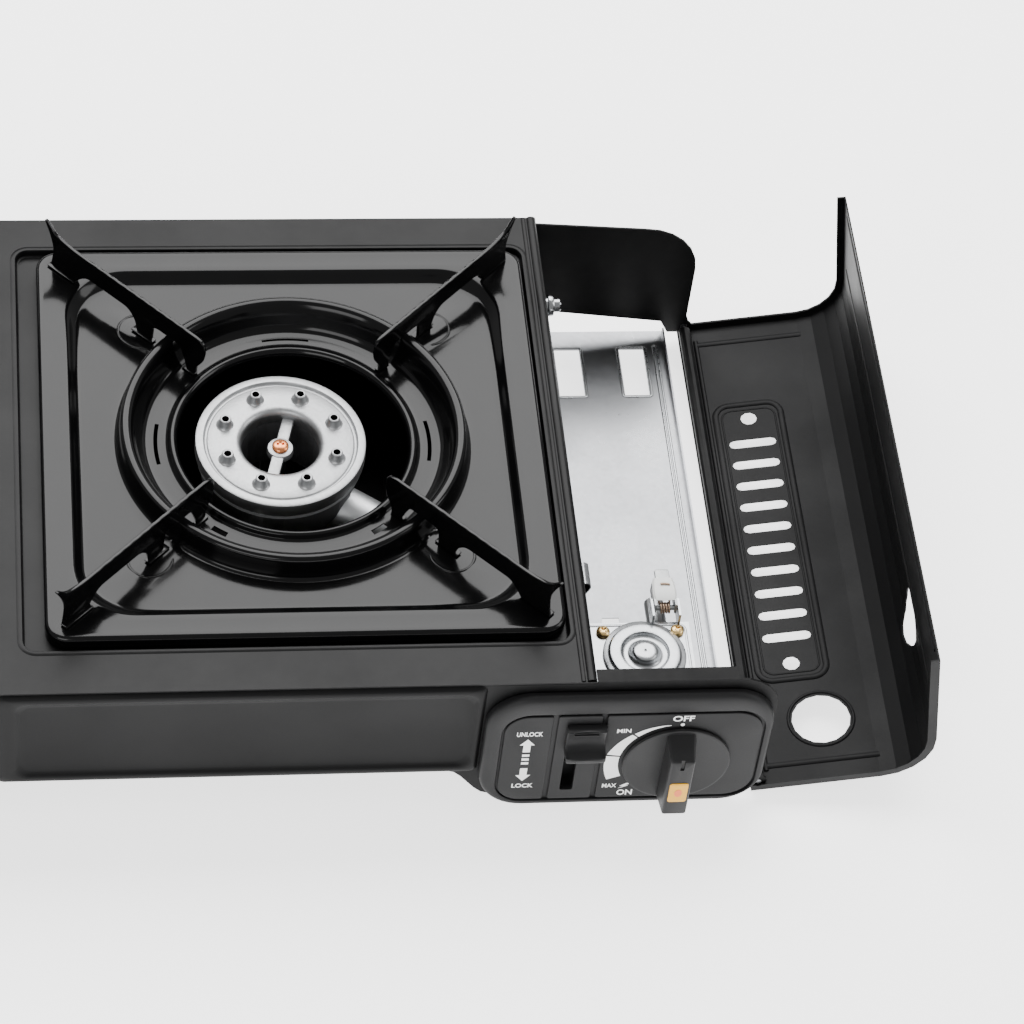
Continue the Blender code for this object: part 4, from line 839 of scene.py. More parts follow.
class STOVE_OT_pans(StoveOperator):
    """Drip pans: rim, step, sunk floor with pads, ridge, slotted ledge and lip around the flame"""

    bl_idname = "stove.pans"
    bl_label = "Drip pans"

    def execute(self, context):
        angles = corner_angles(28)
        rows = [[(x, y, z) for x, y in pan_ring(half, corner, angles)] for half, corner,
                z in self.square_rings()]
        for radius, z in self.round_rings():
            rows.append([(radius * math.cos(a), radius * math.sin(a), z) for a in angles])
        pan = skin(rows)
        self.press_pads(pan)
        pan = carved(sheeted(pan, 0.8), *self.ledge_slots())
        place_pair("drip_pan_pressed", pan, "pan", "gloss_enamel", "enamel", ("drip_pan",), PAN)
        rings = []
        for turn in (45, 135, 225, 315):
            pad = bead(round_rectangle(84.5, 104.5, -9.4, 9.4, 9.2, 8), 1.5, 0.55)
            lift = Matrix.Rotation(math.radians(turn), 4, "Z") @ Matrix.Translation((0, 0, 87.48))
            rings.append(moved(pad, lift))
        place_pair("pan_pad_rings", gathered(*rings), "pan", "gloss_enamel", "enamel", matrix=PAN)
        return {"FINISHED"}

    def square_rings(self):
        edge = size("rim_round")
        rings = [(113.5, 10, 84.85), (113.5, 10, 92 - edge)]
        for turn in (20, 40, 60, 75):
            lean = math.radians(turn)
            draw = edge * (1 - math.cos(lean))
            rings.append((113.5 - draw, 10 - draw, 92 - edge + edge * math.sin(lean)))
        rings += [(113.5 - edge, 10 - edge, 92), (110, 8, 91.9), (104, 20, 91.75),
                  (101.2, 28.2, 91.9)]
        rings += [(100.4, 28, 91.75), (99.6, 27.6, 91.2), (98.4, 27, 89.9), (97.2, 26.4, 88.7),
                  (96.3, 26, 88.0)]
        rings += [(95.4, 25.6, 87.6), (94.2, 25.2, 87.5)]
        for share in (0.25, 0.5, 0.75):
            rings.append((94.2 - 6 * share, 25.2 + 30 * share, 87.5))
        return rings

    def round_rings(self):
        rings = [(84.5, 87.5), (81.6, 87.5), (80.5, 87.65), (79.7, 88.1), (79.2, 89.0),
                 (78.7, 91.5), (78.35, 94.5)]
        rings += [(78.1, 97.0), (77.8, 98.3), (77.2, 99.1), (76.2, 99.5), (75.0, 99.45),
                  (73.9, 99.1), (73.0, 98.3)]
        rings += [(72.0, 96.6), (70.6, 93.4), (69.0, 89.6), (68.0, 87.8), (67.0, 86.9),
                  (65.8, 86.5), (63, 86.5)]
        rings += [(60, 86.5), (58, 86.55), (57.0, 86.9), (56.4, 87.6), (55.9, 88.6), (55.2, 89.3),
                  (54.4, 89.5)]
        return rings + [(53.6, 89.3), (52.9, 88.6), (52.3, 87.6), (52.0, 86.6)]

    def press_pads(self, pan):
        """Raises a stadium-shaped pad under each blade's inner foot, with a shallow edge."""
        for vert in pan.verts:
            x, y, z = vert.co
            if not 87.4 < z < 87.7:
                continue
            along, across = (abs(x) + abs(y)) / math.sqrt(2), (abs(x) - abs(y)) / math.sqrt(2)
            out = math.hypot(max(0, abs(along - 93) - 6), across)
            vert.co.z += 0.9 * min(1.0, max(0.0, (9.0 - out) / 2.5))

    def ledge_slots(self):
        """Air slots along the ledge: long ones at the sides, a fine one behind and two in front."""
        slots = ((0, 22, 1.8), (180, 22, 1.8), (90, 20, 1.2), (235, 7, 2.8), (305, 7, 2.8))
        tools = []
        for middle_turn, spread, width in slots:
            outline = arc(0, 0, 62 + width / 2, middle_turn - spread / 2, middle_turn + spread / 2,
                          14)
            outline += arc(0, 0, 62 - width / 2, middle_turn + spread / 2, middle_turn - spread / 2,
                           14)
            tools.append(moved(slab([outline], 6), Matrix.Translation((0, 0, 86))))
        return tools


class STOVE_OT_trivets(StoveOperator):
    """Trivet blades with hooked tips, bumpy top edges and flanged feet"""

    bl_idname = "stove.trivets"
    bl_label = "Trivet blades"

    def execute(self, context):
        for i, name in enumerate(BLADES):
            turn = PAN @ Matrix.Rotation(math.radians(45 + 90 * i), 4, "Z")
            node = f"trivet_blade_{name}"
            place_pair(f"trivet_{name}", self.make_blade(), "pan", "blade_enamel", "enamel",
                       (node,), turn)
        return {"FINISHED"}

    def make_blade(self):
        blade = moved(slab([self.outline()], size("blade_sheet"), 0.35), STAND)
        rim_flange = block((133.4, -0.7, 92.25), (150.2, 2.9, 93.15), 0.3)
        floor_flange = block((84.6, -0.7, 88.75), (97.5, 2.6, 89.55), 0.3)
        ledge_flange = block((58.8, -0.7, 86.85), (66.0, 2.2, 87.65), 0.3)
        return gathered(blade, rim_flange, floor_flange, ledge_flange)

    def outline(self):
        """A blade in (distance from the pan's middle, height)."""
        bumps = [(126 - 3.0 * i, 111.0 + (size("blade_bumps") if i % 2 else 0.0),
                  1.4) for i in range(21)]
        corners = [(154.0, 118.9, 0.8), (152.6, 118.9, 0.9), (147.5, 113.2, 4), (138, 111.2, 5),
                   *bumps]
        corners += [(59, 111, 2), (55.0, 109.6, 2), (54.2, 104, 3), (55.5, 97, 3), (59.0, 91.5, 2),
                    (59.2, 87.0, 0.3)]
        corners += [(64.5, 87.0, 0.3), (67.0, 94.0, 2), (69.2, 98.8, 1.5), (80.0, 98.8, 1.5),
                    (83.0, 98.8, 2)]
        corners += [(86.0, 97.5, 3), (86.5, 88.9, 0.5), (95.6, 88.9, 0.5), (97.2, 95.0, 3),
                    (101.5, 99.2, 4)]
        corners += [(127.0, 99.2, 4), (131.0, 96.0, 3), (133.8, 92.4, 0.4), (150.0, 92.4, 0.4),
                    (149.0, 97.5, 3)]
        corners += [(148.3, 104.5, 5), (150.6, 112.0, 5)]
        return filleted(corners)


# ---- burners ----


class STOVE_OT_burners(StoveOperator):
    """Burner heads with their ports, bars, screws, cups and mixing tubes"""

    bl_idname = "stove.burners"
    bl_label = "Burners"

    def execute(self, context):
        dress("dark_casting", "burner_cup")
        dress("screw_brass", "gas_jet")
        place_pair("burner_casting", self.make_head(), "stove_body", ("cast_burner", "sooted_port"),
                   "cast_aluminium",
                   ("burner_head",), BURNER)
        screw = moved(phillips(3.8, 2.3), Matrix.Translation((0, 0, 88.2)))
        place_pair("burner_centre_screw", screw, "stove_body", "screw_copper", "copper",
                   ("burner_screw",), BURNER)
        ring = turned(((36.9, 84.0), (37.6, 83.9), (37.8, 83.3), (37.4, 82.7), (36.7, 82.8)), 96,
                      closed=True)
        place_pair("burner_cup_ring", ring, "stove_body", "feed_tube", "cast_aluminium",
                   matrix=BURNER)
        self.make_tubes()
        return {"FINISHED"}

    def make_head(self):
        profile = ((33.9, 91.3), (34.3, 91.5), (34.6, 92.5), (35.0, 92.95), (37.7, 93.0),
                   (38.3, 92.7), (38.5, 92.0))
        profile += ((38.5, 86.6), (38.1, 85.6), (36.6, 84.4), (35.6, 84.0), (18.2, 84.0),
                    (17.75, 84.5), (17.75, 88.4))
        profile += ((17.85, 89.8), (18.3, 90.9), (19.1, 91.7), (20.3, 92.15), (21.8, 92.2),
                    (26.5, 92.0), (32.6, 91.95))
        profile += ((33.1, 91.7), (33.4, 91.3))
        ring = turned(profile, 128, closed=True)
        ports = []
        for i in range(8):
            turn = math.radians(22.5 + 45 * i)
            place_of = Matrix.Translation((26.5 * math.cos(turn), 26.5 * math.sin(turn), 0))
            ports.append(moved(self.make_port(), place_of))
        bar = block((-2.75, -18.4, 84.3), (2.75, 18.4, 87.4), 0.9)
        boss = turned(((0, 88.1), (4.6, 88.1), (5.6, 87.8), (6.0, 87.1), (6.0, 84.6), (0, 84.6)),
                      40)
        bar = moved(bar, Matrix.Rotation(math.radians(-15), 4, "Z"))
        return gathered(ring, *ports, bar, boss)

    def make_port(self):
        cone = turned(((1.7, 96.4), (2.2, 96.5), (2.55, 96.25), (2.7, 95.7), (3.2, 93.0),
                       (3.7, 92.2), (4.4, 91.9)), 28)
        # The bore's inside takes the second material, painted shade for the dark of the hole
        bore = tinted(turned(((0, 92.6), (1.6, 92.7), (1.7, 96.4)), 28), 1)
        return gathered(cone, bore)

    def make_tubes(self):
        """A mixing tube with a flared air mouth, from the cup down towards the regulator."""
        for side in SIDES:
            low, high = (Vector(corner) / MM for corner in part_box(f"mixing_tube_{side}"))
            sign = 1 if side == "right" else -1
            start = Vector((low.x if sign > 0 else high.x, high.y, high.z))
            start += Vector((sign * 4.6, -9.3, -10.6))
            end = Vector((high.x if sign > 0 else low.x, low.y, low.z)) + Vector((-sign * 4.6, 9.3,
                    10.6))
            length = (end - start).length
            profile = ((9.8, length), (11.0, length), (11.0, length - 3), (10.4, length - 8),
                       (10.4, 26), (11.0, 20))
            profile += ((11.0, 0), (9.9, 0), (9.3, 26), (9.3, length - 8))
            matrix = Matrix.Translation(start) @ (end - start).to_track_quat("Z",
                    "Y").to_matrix().to_4x4()
            tube = turned(profile, 56, closed=True)
            place(f"venturi_tube_{side}", tube, "stove_body", "feed_tube", "cast_aluminium",
                  (f"mixing_tube_{side}",), matrix, side)
            tube.free()


class STOVE_OT_ignition(StoveOperator):
    """Spark electrodes with their clamps, the leads and the igniters"""

    bl_idname = "stove.ignition"
    bl_label = "Ignition"

    def execute(self, context):
        dress("moulded_plastic", "spark_igniter")
        rod_at = spot_of("spark_electrode_right")
        profile = ((0, 79.0), (0.55, 79.0), (0.6, 78.8), (0.6, 76.1), (1.7, 76.0), (2.2, 75.4),
                   (2.5, 74.2))
        profile += ((2.5, 68.4), (2.9, 68.1), (2.9, 66.9), (2.5, 66.6), (2.5, 56.4), (2.1, 56.0),
                    (0, 56.0))
        electrode = turned(profile, 36)
        place_pair("electrode_ceramic", electrode, "stove_body", "glazed_ceramic", "ceramic",
                   ("spark_electrode",),
                   rod_at)
        inward = BURNER.translation - rod_at.translation
        turn = math.atan2(inward.y, inward.x)
        clamp = turned(((2.7, 65.6), (3.3, 65.6), (3.3, 61.2), (2.7, 61.2)), 36, closed=True)
        strip = block((3.0, -2.2, 61.6), (6.4, 2.2, 62.4), 0.2)
        clamp = moved(gathered(clamp, strip), Matrix.Rotation(turn, 4, "Z"))
        place_pair("electrode_clamp", clamp, "stove_body", "dull_steel", "zinc_steel",
                   matrix=rod_at)
        route = ((263.5, -125, 20), (257, -125, 20), (244, -123, 18), (225, -112, 13),
                 (200, -98, 10), (175, -85, 9.5),
                 (152, -72, 11), (133, -60, 18), (121, -50, 32), (116.5, -44, 45), (116, -42.5, 53),
                 (116, -42.5, 57))
        lead = wire(route, 1.0, smooth=8)
        place_pair("spark_lead", lead, "stove_body", "lead_sleeve_green", "lead_sleeve",
                   ("ignition_lead",),
                   spot(0, 0, 0))
        saddles = []
        for x, y, z, angle in ((200, -98, 10, 30), (160, -76.5, 10.2, 31)):
            saddle = skin([[(a, b, c) for a,
                            c in ((-4.5, 7.15 - z), (-1.6, 7.15 - z), (-1.4, 0.4), (-0.8, 1.3),
                          (0.0, 1.55), (0.8, 1.3), (1.4, 0.4), (1.6, 7.15 - z),
                                  (4.5, 7.15 - z))] for b in (-2, 2)],
                          closed=False)
            saddles.append(moved(sheeted(saddle, 0.5), Matrix.Translation((x, y, z))
                                 @ Matrix.Rotation(math.radians(angle - 90), 4, "Z")))
        place_pair("lead_saddles", gathered(*saddles), "stove_body", "dull_steel", "zinc_steel",
                   matrix=spot(0, 0, 0))
        return {"FINISHED"}


# ---- cartridge bays ----


class STOVE_OT_bays(StoveOperator):
    """Cartridge trays with pressed folds, and the spring studs on the deck's side"""

    bl_idname = "stove.bays"
    bl_label = "Cartridge bays"

    def execute(self, context):
        dress("zinc_sheet", "cartridge_tray", "hinge_rod")
        folds = []
        for x0, x1, y0, y1 in ((270.5, 272.2, -46, 127), (325.5, 327.2, -122, 127)):
            outline = round_rectangle(x0, x1, y0, y1, 0.8, 3)
            folds.append(moved(bead(outline, 1.2, 0.5), Matrix.Translation((0, 0, 7.02))))
        for x0, x1 in ((276, 288.5), (308.3, 320.5)):
            outline = round_rectangle(x0 - 1, x1 + 1, 94, 126, 1.5, 4)
            folds.append(moved(bead(outline, 1.4, 0.45), Matrix.Translation((0, 0, 7.02))))
        place_pair("tray_folds", gathered(*folds), "stove_body", "bright_zinc", "zinc_steel",
                   matrix=spot(0, 0, 0))
        profile = ((0, 12.0), (2.6, 11.9), (3.4, 11.2), (3.4, 8.6), (5.0, 8.3), (5.4, 7.6),
                   (5.4, 5.8), (4.0, 5.4))
        profile += ((4.0, 3.2), (6.4, 2.9), (6.9, 2.2), (6.9, 0.4), (0, 0.4))
        stud = moved(turned(profile, 40), Matrix.Rotation(QUARTER, 4, "Y"))
        place_pair("bay_stud", stud, "stove_body", "bright_zinc", "zinc_steel",
                   matrix=spot(260, 107, 60))
        return {"FINISHED"}


class STOVE_OT_regulators(StoveOperator):
    """Regulator covers with vented domes, their brackets and screws"""

    bl_idname = "stove.regulators"
    bl_label = "Regulators"

    def execute(self, context):
        dress("feed_tube", "regulator_body")
        dress("bright_zinc", "regulator_plate")
        dress("screw_brass", "valve_stem")
        profile = ((0.5, 49.6), (0.55, 50.25), (0.9, 50.35), (3.6, 50.3), (5.2, 50.05), (5.8, 49.5),
                   (6.1, 48.9))
        profile += ((7.0, 47.6), (8.0, 47.1), (9.3, 47.0), (10.2, 47.4), (10.7, 48.3), (11.2, 49.0),
                    (12.0, 49.2))
        profile += ((15.0, 49.15), (15.8, 48.9), (16.2, 48.3), (16.4, 47.5), (17.0, 47.15),
                    (18.4, 47.1), (18.9, 46.8))
        profile += ((18.9, 46.45), (0, 46.45))
        cover = turned(((0, 49.5), *profile), 96)
        place_pair("regulator_cover", cover, "stove_body", ("bright_zinc",), "zinc_steel",
                   ("regulator_cap",), CAN)
        for name in ("outer", "inner"):
            node = f"plate_screw_{name}"
            screw = moved(phillips(3.1, 2.3, shank=1.5), Matrix.Rotation(0.6, 4, "Z"))
            place_pair(f"bracket_screw_{name}", screw, "stove_body", "screw_brass", "brass",
                       (node,),
                       spot_of(f"{node}_right", 46.0))
        curb = bead(round_rectangle(265.5, 311.5, -125, -75.5, 3), 1.2, 0.35)
        place_pair("bracket_bead", curb, "stove_body", "bright_zinc", "zinc_steel",
                   matrix=spot(0, 0, 45.7))
        return {"FINISHED"}


class STOVE_OT_retainers(StoveOperator):
    """Cartridge retainers: sprung tongues with wound wire springs"""

    bl_idname = "stove.retainers"
    bl_label = "Retainers"

    def execute(self, context):
        pin = spot(302.5, -69.5, 50.5)
        dress("dull_steel", "retainer_lever")
        rows = []
        for y, half, z in ((1.2, 4.6, 4.0), (3.0, 5.0, 4.75), (6.5, 5.0, 4.95), (10.5, 4.7, 4.9),
                           (13.2, 4.1, 4.85)):
            rows.append([(-half, y, z - 2.6), (-half, y, z - 0.5), (-half + 0.6, y, z),
                         (half - 0.6, y, z),
                         (half, y, z - 0.5), (half, y, z - 2.6)])
        tongue = sheeted(skin(rows, closed=False), 0.45, offset=1)
        place_pair("retainer_tongue", tongue, "retainer", "retainer_white", "zinc_steel",
                   matrix=pin)
        tab = moved(slab([round_rectangle(-3.3, 3.3, 12.4, 18.4, (1.4, 1.4, 0.2, 0.2))], 0.8, 0.25),
                    Matrix.Translation((0, 0, 4.7)))
        place_pair("retainer_tab", tab, "retainer", "dull_steel", "zinc_steel", matrix=pin)
        coil = []
        for i in range(4 * 20 + 1):
            turn = 2 * math.pi * i / 20
            coil.append((-2.4 + 4.8 * i / 80, 2.2 * math.cos(turn), 2.2 * math.sin(turn)))
        leg_in = ((-2.4, 6.0, 1.6), (-2.4, 3.6, 1.0))
        leg_out = ((2.4, 4.4, 1.6), (2.4, 8.2, 4.2), (2.2, 9.2, 5.75), (-1.6, 9.4, 5.75))
        spring = wire((*leg_in, *coil, *leg_out), 0.5, smooth=2)
        place_pair("retainer_coil", spring, "retainer", "spring_wire", "spring_steel",
                   ("retainer_spring",), pin)
        return {"FINISHED"}


# ---- lids ----


class STOVE_OT_lids(StoveOperator):
    """Side lids: an embossed border around the vents, ribs by the ends and rolled edges"""

    bl_idname = "stove.lids"
    bl_label = "Lids"

    def execute(self, context):
        dress("lid_paint", "lid")
        inside = LID @ Matrix.Translation((4.62, 0, 0)) @ Matrix.Rotation(-QUARTER, 4, "Y")
        border = bead(round_rectangle(8.5, 40.5, -80.5, 86.5, 7, 8), 3.2, 0.8)
        inner = bead(round_rectangle(11.5, 37.5, -77, 83, 5, 8), 1.0, 0.3)
        ribs = [bead([(5.0 + 2 * i, y) for i in range(27)], 3.0, 0.7,
                     closed=False) for y in (-127.5, 127.5)]
        hems = [bead([(x, -130 + 10 * i) for i in range(27)], width, height, closed=False)
                for x, width, height in ((0.6, 3.4, 1.1), (4.9, 2.4, 0.8))]
        grips = bead(circle(33.6, -104.5, 15.0, 40), 1.6, 0.6)
        shape = gathered(border, inner, *ribs, *hems, grips)
        place_pair("lid_pressing", shape, "lid", "lid_paint", "body_paint", matrix=inside)
        top = LID @ Matrix.Translation((0, 0, 79.98)) @ Matrix.Rotation(math.pi, 4, "X")
        lines = [bead([(x, -130 + 10 * i) for i in range(27)], 2.4, 0.6,
                      closed=False) for x in (-74, -36)]
        place_pair("lid_top_pressing", gathered(*lines), "lid", "lid_paint", "body_paint",
                   matrix=top)
        return {"FINISHED"}


# ---- controls ----


class STOVE_OT_panels(StoveOperator):
    """Control panels: thick rounded borders, three inset plates, slots and printing"""

    bl_idname = "stove.panels"
    bl_label = "Control panels"

    def execute(self, context):
        place_pair("panel_moulding", self.make_panel(), "stove_body", "moulded_plastic",
                   "black_plastic",
                   ("control_panel",), PANEL)
        plates = ((221.4, 242.4, (1.2, 11, 11, 1.2)), (244.6, 264.0, (1.2, 1.2, 1.2, 1.2)),
                  (266.2, 336.6, (13, 1.2, 1.2, 13)))
        shapes = []
        for x0, x1, corners in plates:
            shapes.append(slab([round_rectangle(x0, x1, -31.0, 28.2, corners, 8)], 1.2, 0.45))
        slot = slab([self.slot_outline()], 12)
        shapes[1] = carved(shapes[1], slot)
        stem_bore = turned(((0, 8), (3.8, 8), (3.8, -8), (0, -8)), 32)
        shapes[2] = carved(shapes[2], moved(stem_bore, Matrix.Translation((KNOB_X, -AXLE_DROP, 0))))
        plate_at = PANEL @ Matrix.Translation((0, 0.8, 0)) @ STAND
        place_pair("panel_plates", gathered(*shapes), "stove_body", "panel_plate", "black_plastic",
                   matrix=plate_at)
        self.print_marks()
        return {"FINISHED"}

    def slot_outline(self):
        return round_rectangle(249.6, 255.4, -24.5, 17.6, 1.2, 4)

    def make_panel(self):
        outer = (213, 341, -35, 40)
        field = (220.6, 337.4, -31.8, 29.0)
        rows = []

        def add(share, corner, depth, follow_wall=False):
            x0, x1, z0, z1 = (a + (b - a) * share for a, b in zip(outer, field))
            row = []
            for x, z in round_rectangle(x0, x1, z0, z1, corner, 10):
                wall = (6.2 - (z + AXLE_DROP) * math.sin(PANEL_LEAN)) / math.cos(PANEL_LEAN)
                row.append((x, wall if follow_wall else depth, z))
            rows.append(row)

        add(0, 20, 0, True)
        for share, corner, depth in ((0, 20, 2.9), (0.02, 20, 2.0), (0.08, 19.5, 1.1),
                                     (0.18, 19, 0.45), (0.32, 18, 0.1),
                                     (0.48, 17, 0.0), (0.86, 13.5, 0.05), (0.93, 13, 0.25),
                                     (0.97, 12.6, 0.7),
                                     (1.0, 12.2, 1.25), (1.01, 12, 1.4)):
            add(share, corner, depth)
        bm = skin(rows)
        bm.verts.ensure_lookup_table()
        bm.faces.new(bm.verts[-len(rows[0]):])
        bmesh.ops.recalc_face_normals(bm, faces=bm.faces[:])
        bm = sheeted(bm, 1.4)
        slot = moved(slab([self.slot_outline()], 14), STAND)
        stem_bore = moved(turned(((0, 12), (3.6, 12), (3.6, -12), (0, -12)), 32),
                          Matrix.Translation((KNOB_X, 0, -AXLE_DROP)) @ FACE_OUT)
        return carved(bm, slot, stem_bore)

    def print_marks(self):
        """Words stay readable on both sides, and the other marks are mirrored with the knobs."""
        small = size("word_height")
        words = (("UNLOCK", small, 232.6, 16.2, 11.6), ("LOCK", 0.95 * small, 232.4, -20.8, 9.5),
                 ("OFF", 3.7, KNOB_X, 25.0, 9.6), ("MIN", 2.7, KNOB_X - 25.6, 17.2, 6.3),
                 ("MAX", 2.8, KNOB_X - 28.2, -22.4, 6.4), ("ON", 3.8, KNOB_X - 20.6, -27.6, 7.0))
        shapes = self.dial_marks() + self.arrow_marks()
        marks = gathered(*[slab([outline], 0.1) for outline in shapes])
        print_at = PANEL @ Matrix.Translation((0, 0.20, 0)) @ STAND
        for side in SIDES:
            sign = 1 if side == "right" else -1
            pieces = [marks.copy()]
            if sign < 0:
                moved(pieces[0], MIRROR)
                bmesh.ops.reverse_faces(pieces[0], faces=pieces[0].faces[:])
            for word, height, x, z, width in words:
                here = Matrix.Translation((sign * x, z, 0))
                pieces.append(moved(lettering(word, height, width), here))
            printed = gathered(*pieces)
            place(f"panel_printing_{side}", printed, "stove_body", "printing_ink", "black_plastic",
                  (), print_at, side)
            printed.free()
        marks.free()

    def dial_marks(self):
        outlines = []
        for first, last, wide_first, wide_last in ((11, 46, 0.3, 2.8), (48, 80, 3.1, 6.0),
                (82, 113, 6.1, 6.5)):
            steps = [first + (last - first) * i / 12 for i in range(13)]
            inner = [(25.9, turn) for turn in steps]
            outer = [(25.9 + wide_first + (wide_last - wide_first) * i / 12, turn) for i,
                     turn in enumerate(steps)]
            outline = [(KNOB_X - r * math.sin(math.radians(t)),
                        r * math.cos(math.radians(t)) - AXLE_DROP)
                       for r, t in inner + outer[::-1]]
            outlines.append(outline)
        outlines.append(circle(KNOB_X, 20.9, 0.95, 24))
        x, z = KNOB_X - 20.8, -22.6
        spark = ((3.0, 2.0), (-0.2, 0.3), (1.4, 0.2), (-3.2, -1.9), (-0.9, -0.2), (-2.6, -0.1),
                 (0.4, 1.9))
        return outlines + [[(x + a, z + b) for a, b in spark]]

    def arrow_marks(self):
        x = 232.2
        outlines = []
        for sign in (1, -1):
            tip = 12.8 if sign > 0 else -17.2
            base = tip - sign * 4.2
            tail = base - sign * 5.0
            outlines.append([(x, tip), (x - 3.3, base), (x - 1.6, base), (x - 1.6, tail),
                             (x + 1.6, tail),
                             (x + 1.6, base), (x + 3.3, base)])
        for z in (1.2, -1.6, -4.4):
            outlines.append([(x - 1.6, z - 0.8), (x + 1.6, z - 0.8), (x + 1.6, z + 0.8),
                             (x - 1.6, z + 0.8)])
        return outlines


class STOVE_OT_knobs(StoveOperator):
    """Knobs: dished discs with tapered grips, a pointer groove and a badge"""

    bl_idname = "stove.knobs"
    bl_label = "Knobs"

    def execute(self, context):
        axle = PANEL @ Matrix.Translation((KNOB_X, 0, -AXLE_DROP))
        profile = ((0, 1.95), (20.0, 1.95), (22.8, 2.1), (23.5, 2.1), (23.95, 1.95), (24.2, 1.5),
                   (24.2, 0.7), (3.4, 0.7))
        disc = moved(turned((*profile, (3.4, 1.3), (0, 1.3)), 128), FACE_OUT)
        knob = gathered(disc, self.make_grip())
        place_pair("knob_moulding", knob, "knob", "knob_plastic", "black_plastic", ("knob",), axle)
        outer, inner = round_rectangle(-4.2, 4.2, -12.4, 0.8, 1.3), round_rectangle(-3.6, 3.6,
                -11.8, 0.2, 0.9)
        badge = gathered(slab([outer], 0.7, 0.25),
                         moved(slab([inner], 0.3, 0.1), Matrix.Translation((0, 0, 0.3))))
        badge_at = axle @ Matrix.Translation((0, -13.2, 0)) @ STAND
        place_pair("knob_badge", badge, "knob", "badge_yellow", "black_plastic", matrix=badge_at)
        ring = slab([circle(0, 0, 1.7, 32)], 0.12)
        mark = moved(ring, Matrix.Translation((0, -5.8, 0.52)) @ Matrix.Diagonal((1, 1.5, 1, 1)))
        place_pair("knob_badge_mark", mark, "knob", "badge_mark_red", "black_plastic",
                   matrix=badge_at)
        return {"FINISHED"}

    def make_grip(self):
        """A tapered bar, low at its top end and full height from there down."""
        rows = []
        for out, half, low, high, corner in ((1.2, 6.6, -22.9, 22.0, 1.4),
                                             (4.0, 6.4, -22.7, 20.6, 1.4),
                                             (7.0, 6.0, -22.5, 18.8, 1.3),
                                             (10.0, 5.7, -22.3, 17.2, 1.2),
                                             (12.4, 5.45, -22.1, 16.1, 1.1),
                                             (12.9, 5.2, -21.8, 15.6, 0.9),
                                             (13.2, 4.8, -21.4, 15.1, 0.6)):
            rows.append([(x, -out, z) for x,
                         z in round_rectangle(-half, half, low, high, corner, 5)])
        grip = skin(rows, caps=True)
        bmesh.ops.recalc_face_normals(grip, faces=grip.faces[:])
        groove = block((-0.9, -14.2, 10.0), (0.9, -12.3, 16.6), 0.3)
        return carved(grip, groove)


class STOVE_OT_levers(StoveOperator):
    """Lock levers: scooped thumb tabs on arms that pass through the panels' slots"""

    bl_idname = "stove.levers"
    bl_label = "Lock levers"

    def execute(self, context):
        rail = PANEL @ Matrix.Translation((0, 0, 14 / math.cos(PANEL_LEAN)))
        profile = ((-0.35, 9.0), (-2.6, 9.0), (-3.2, 8.6), (-3.3, 7.6), (-2.2, 6.4), (-1.5, 4.0),
                   (-1.3, 1.2),
                   (-1.5, -1.4), (-2.5, -3.4), (-4.6, -4.8), (-7.4, -5.7), (-8.3, -6.5),
                   (-8.3, -8.1), (-7.9, -8.9),
                   (-7.0, -9.0), (-0.35, -9.0))
        rows = []
        for x, draw in ((248.6, 0.9), (248.9, 0.35), (249.6, 0.05), (251.5, 0.0), (257.5, 0.0),
                        (263.5, 0.0),
                        (265.4, 0.05), (266.1, 0.35), (266.4, 0.9)):
            row = []
            for y, z in profile:
                scoop = 0.9 * (abs(x - 257.5) / 9) ** 2 if -7.5 < y < -1 and z < 8.5 else 0.0
                row.append((x, min(-0.35, y + draw - scoop), z * (1 - 0.03 * draw)))
            rows.append(row)
        tab = skin(rows, caps=True)
        bmesh.ops.recalc_face_normals(tab, faces=tab.faces[:])
        arm = block((249.8, -0.6, -3.0), (255.2, 23.0, 3.0), 0.6)
        grips = [block((252, -2.6, z - 0.25), (263, -1.4, z + 0.25), 0.15) for z in (5.4, 3.8)]
        place_pair("lever_tab", gathered(tab, arm, *grips), "lock_lever", "knob_plastic",
                   "black_plastic",
                   ("lock_lever",), rail)
        runner = block((251.2, 4.1, -23.5), (252.9, 5.4, -13.5), 0.4)
        place_pair("slot_runner", runner, "lock_lever", "dull_steel", "black_plastic", matrix=rail)
        return {"FINISHED"}


# ---- studio ----


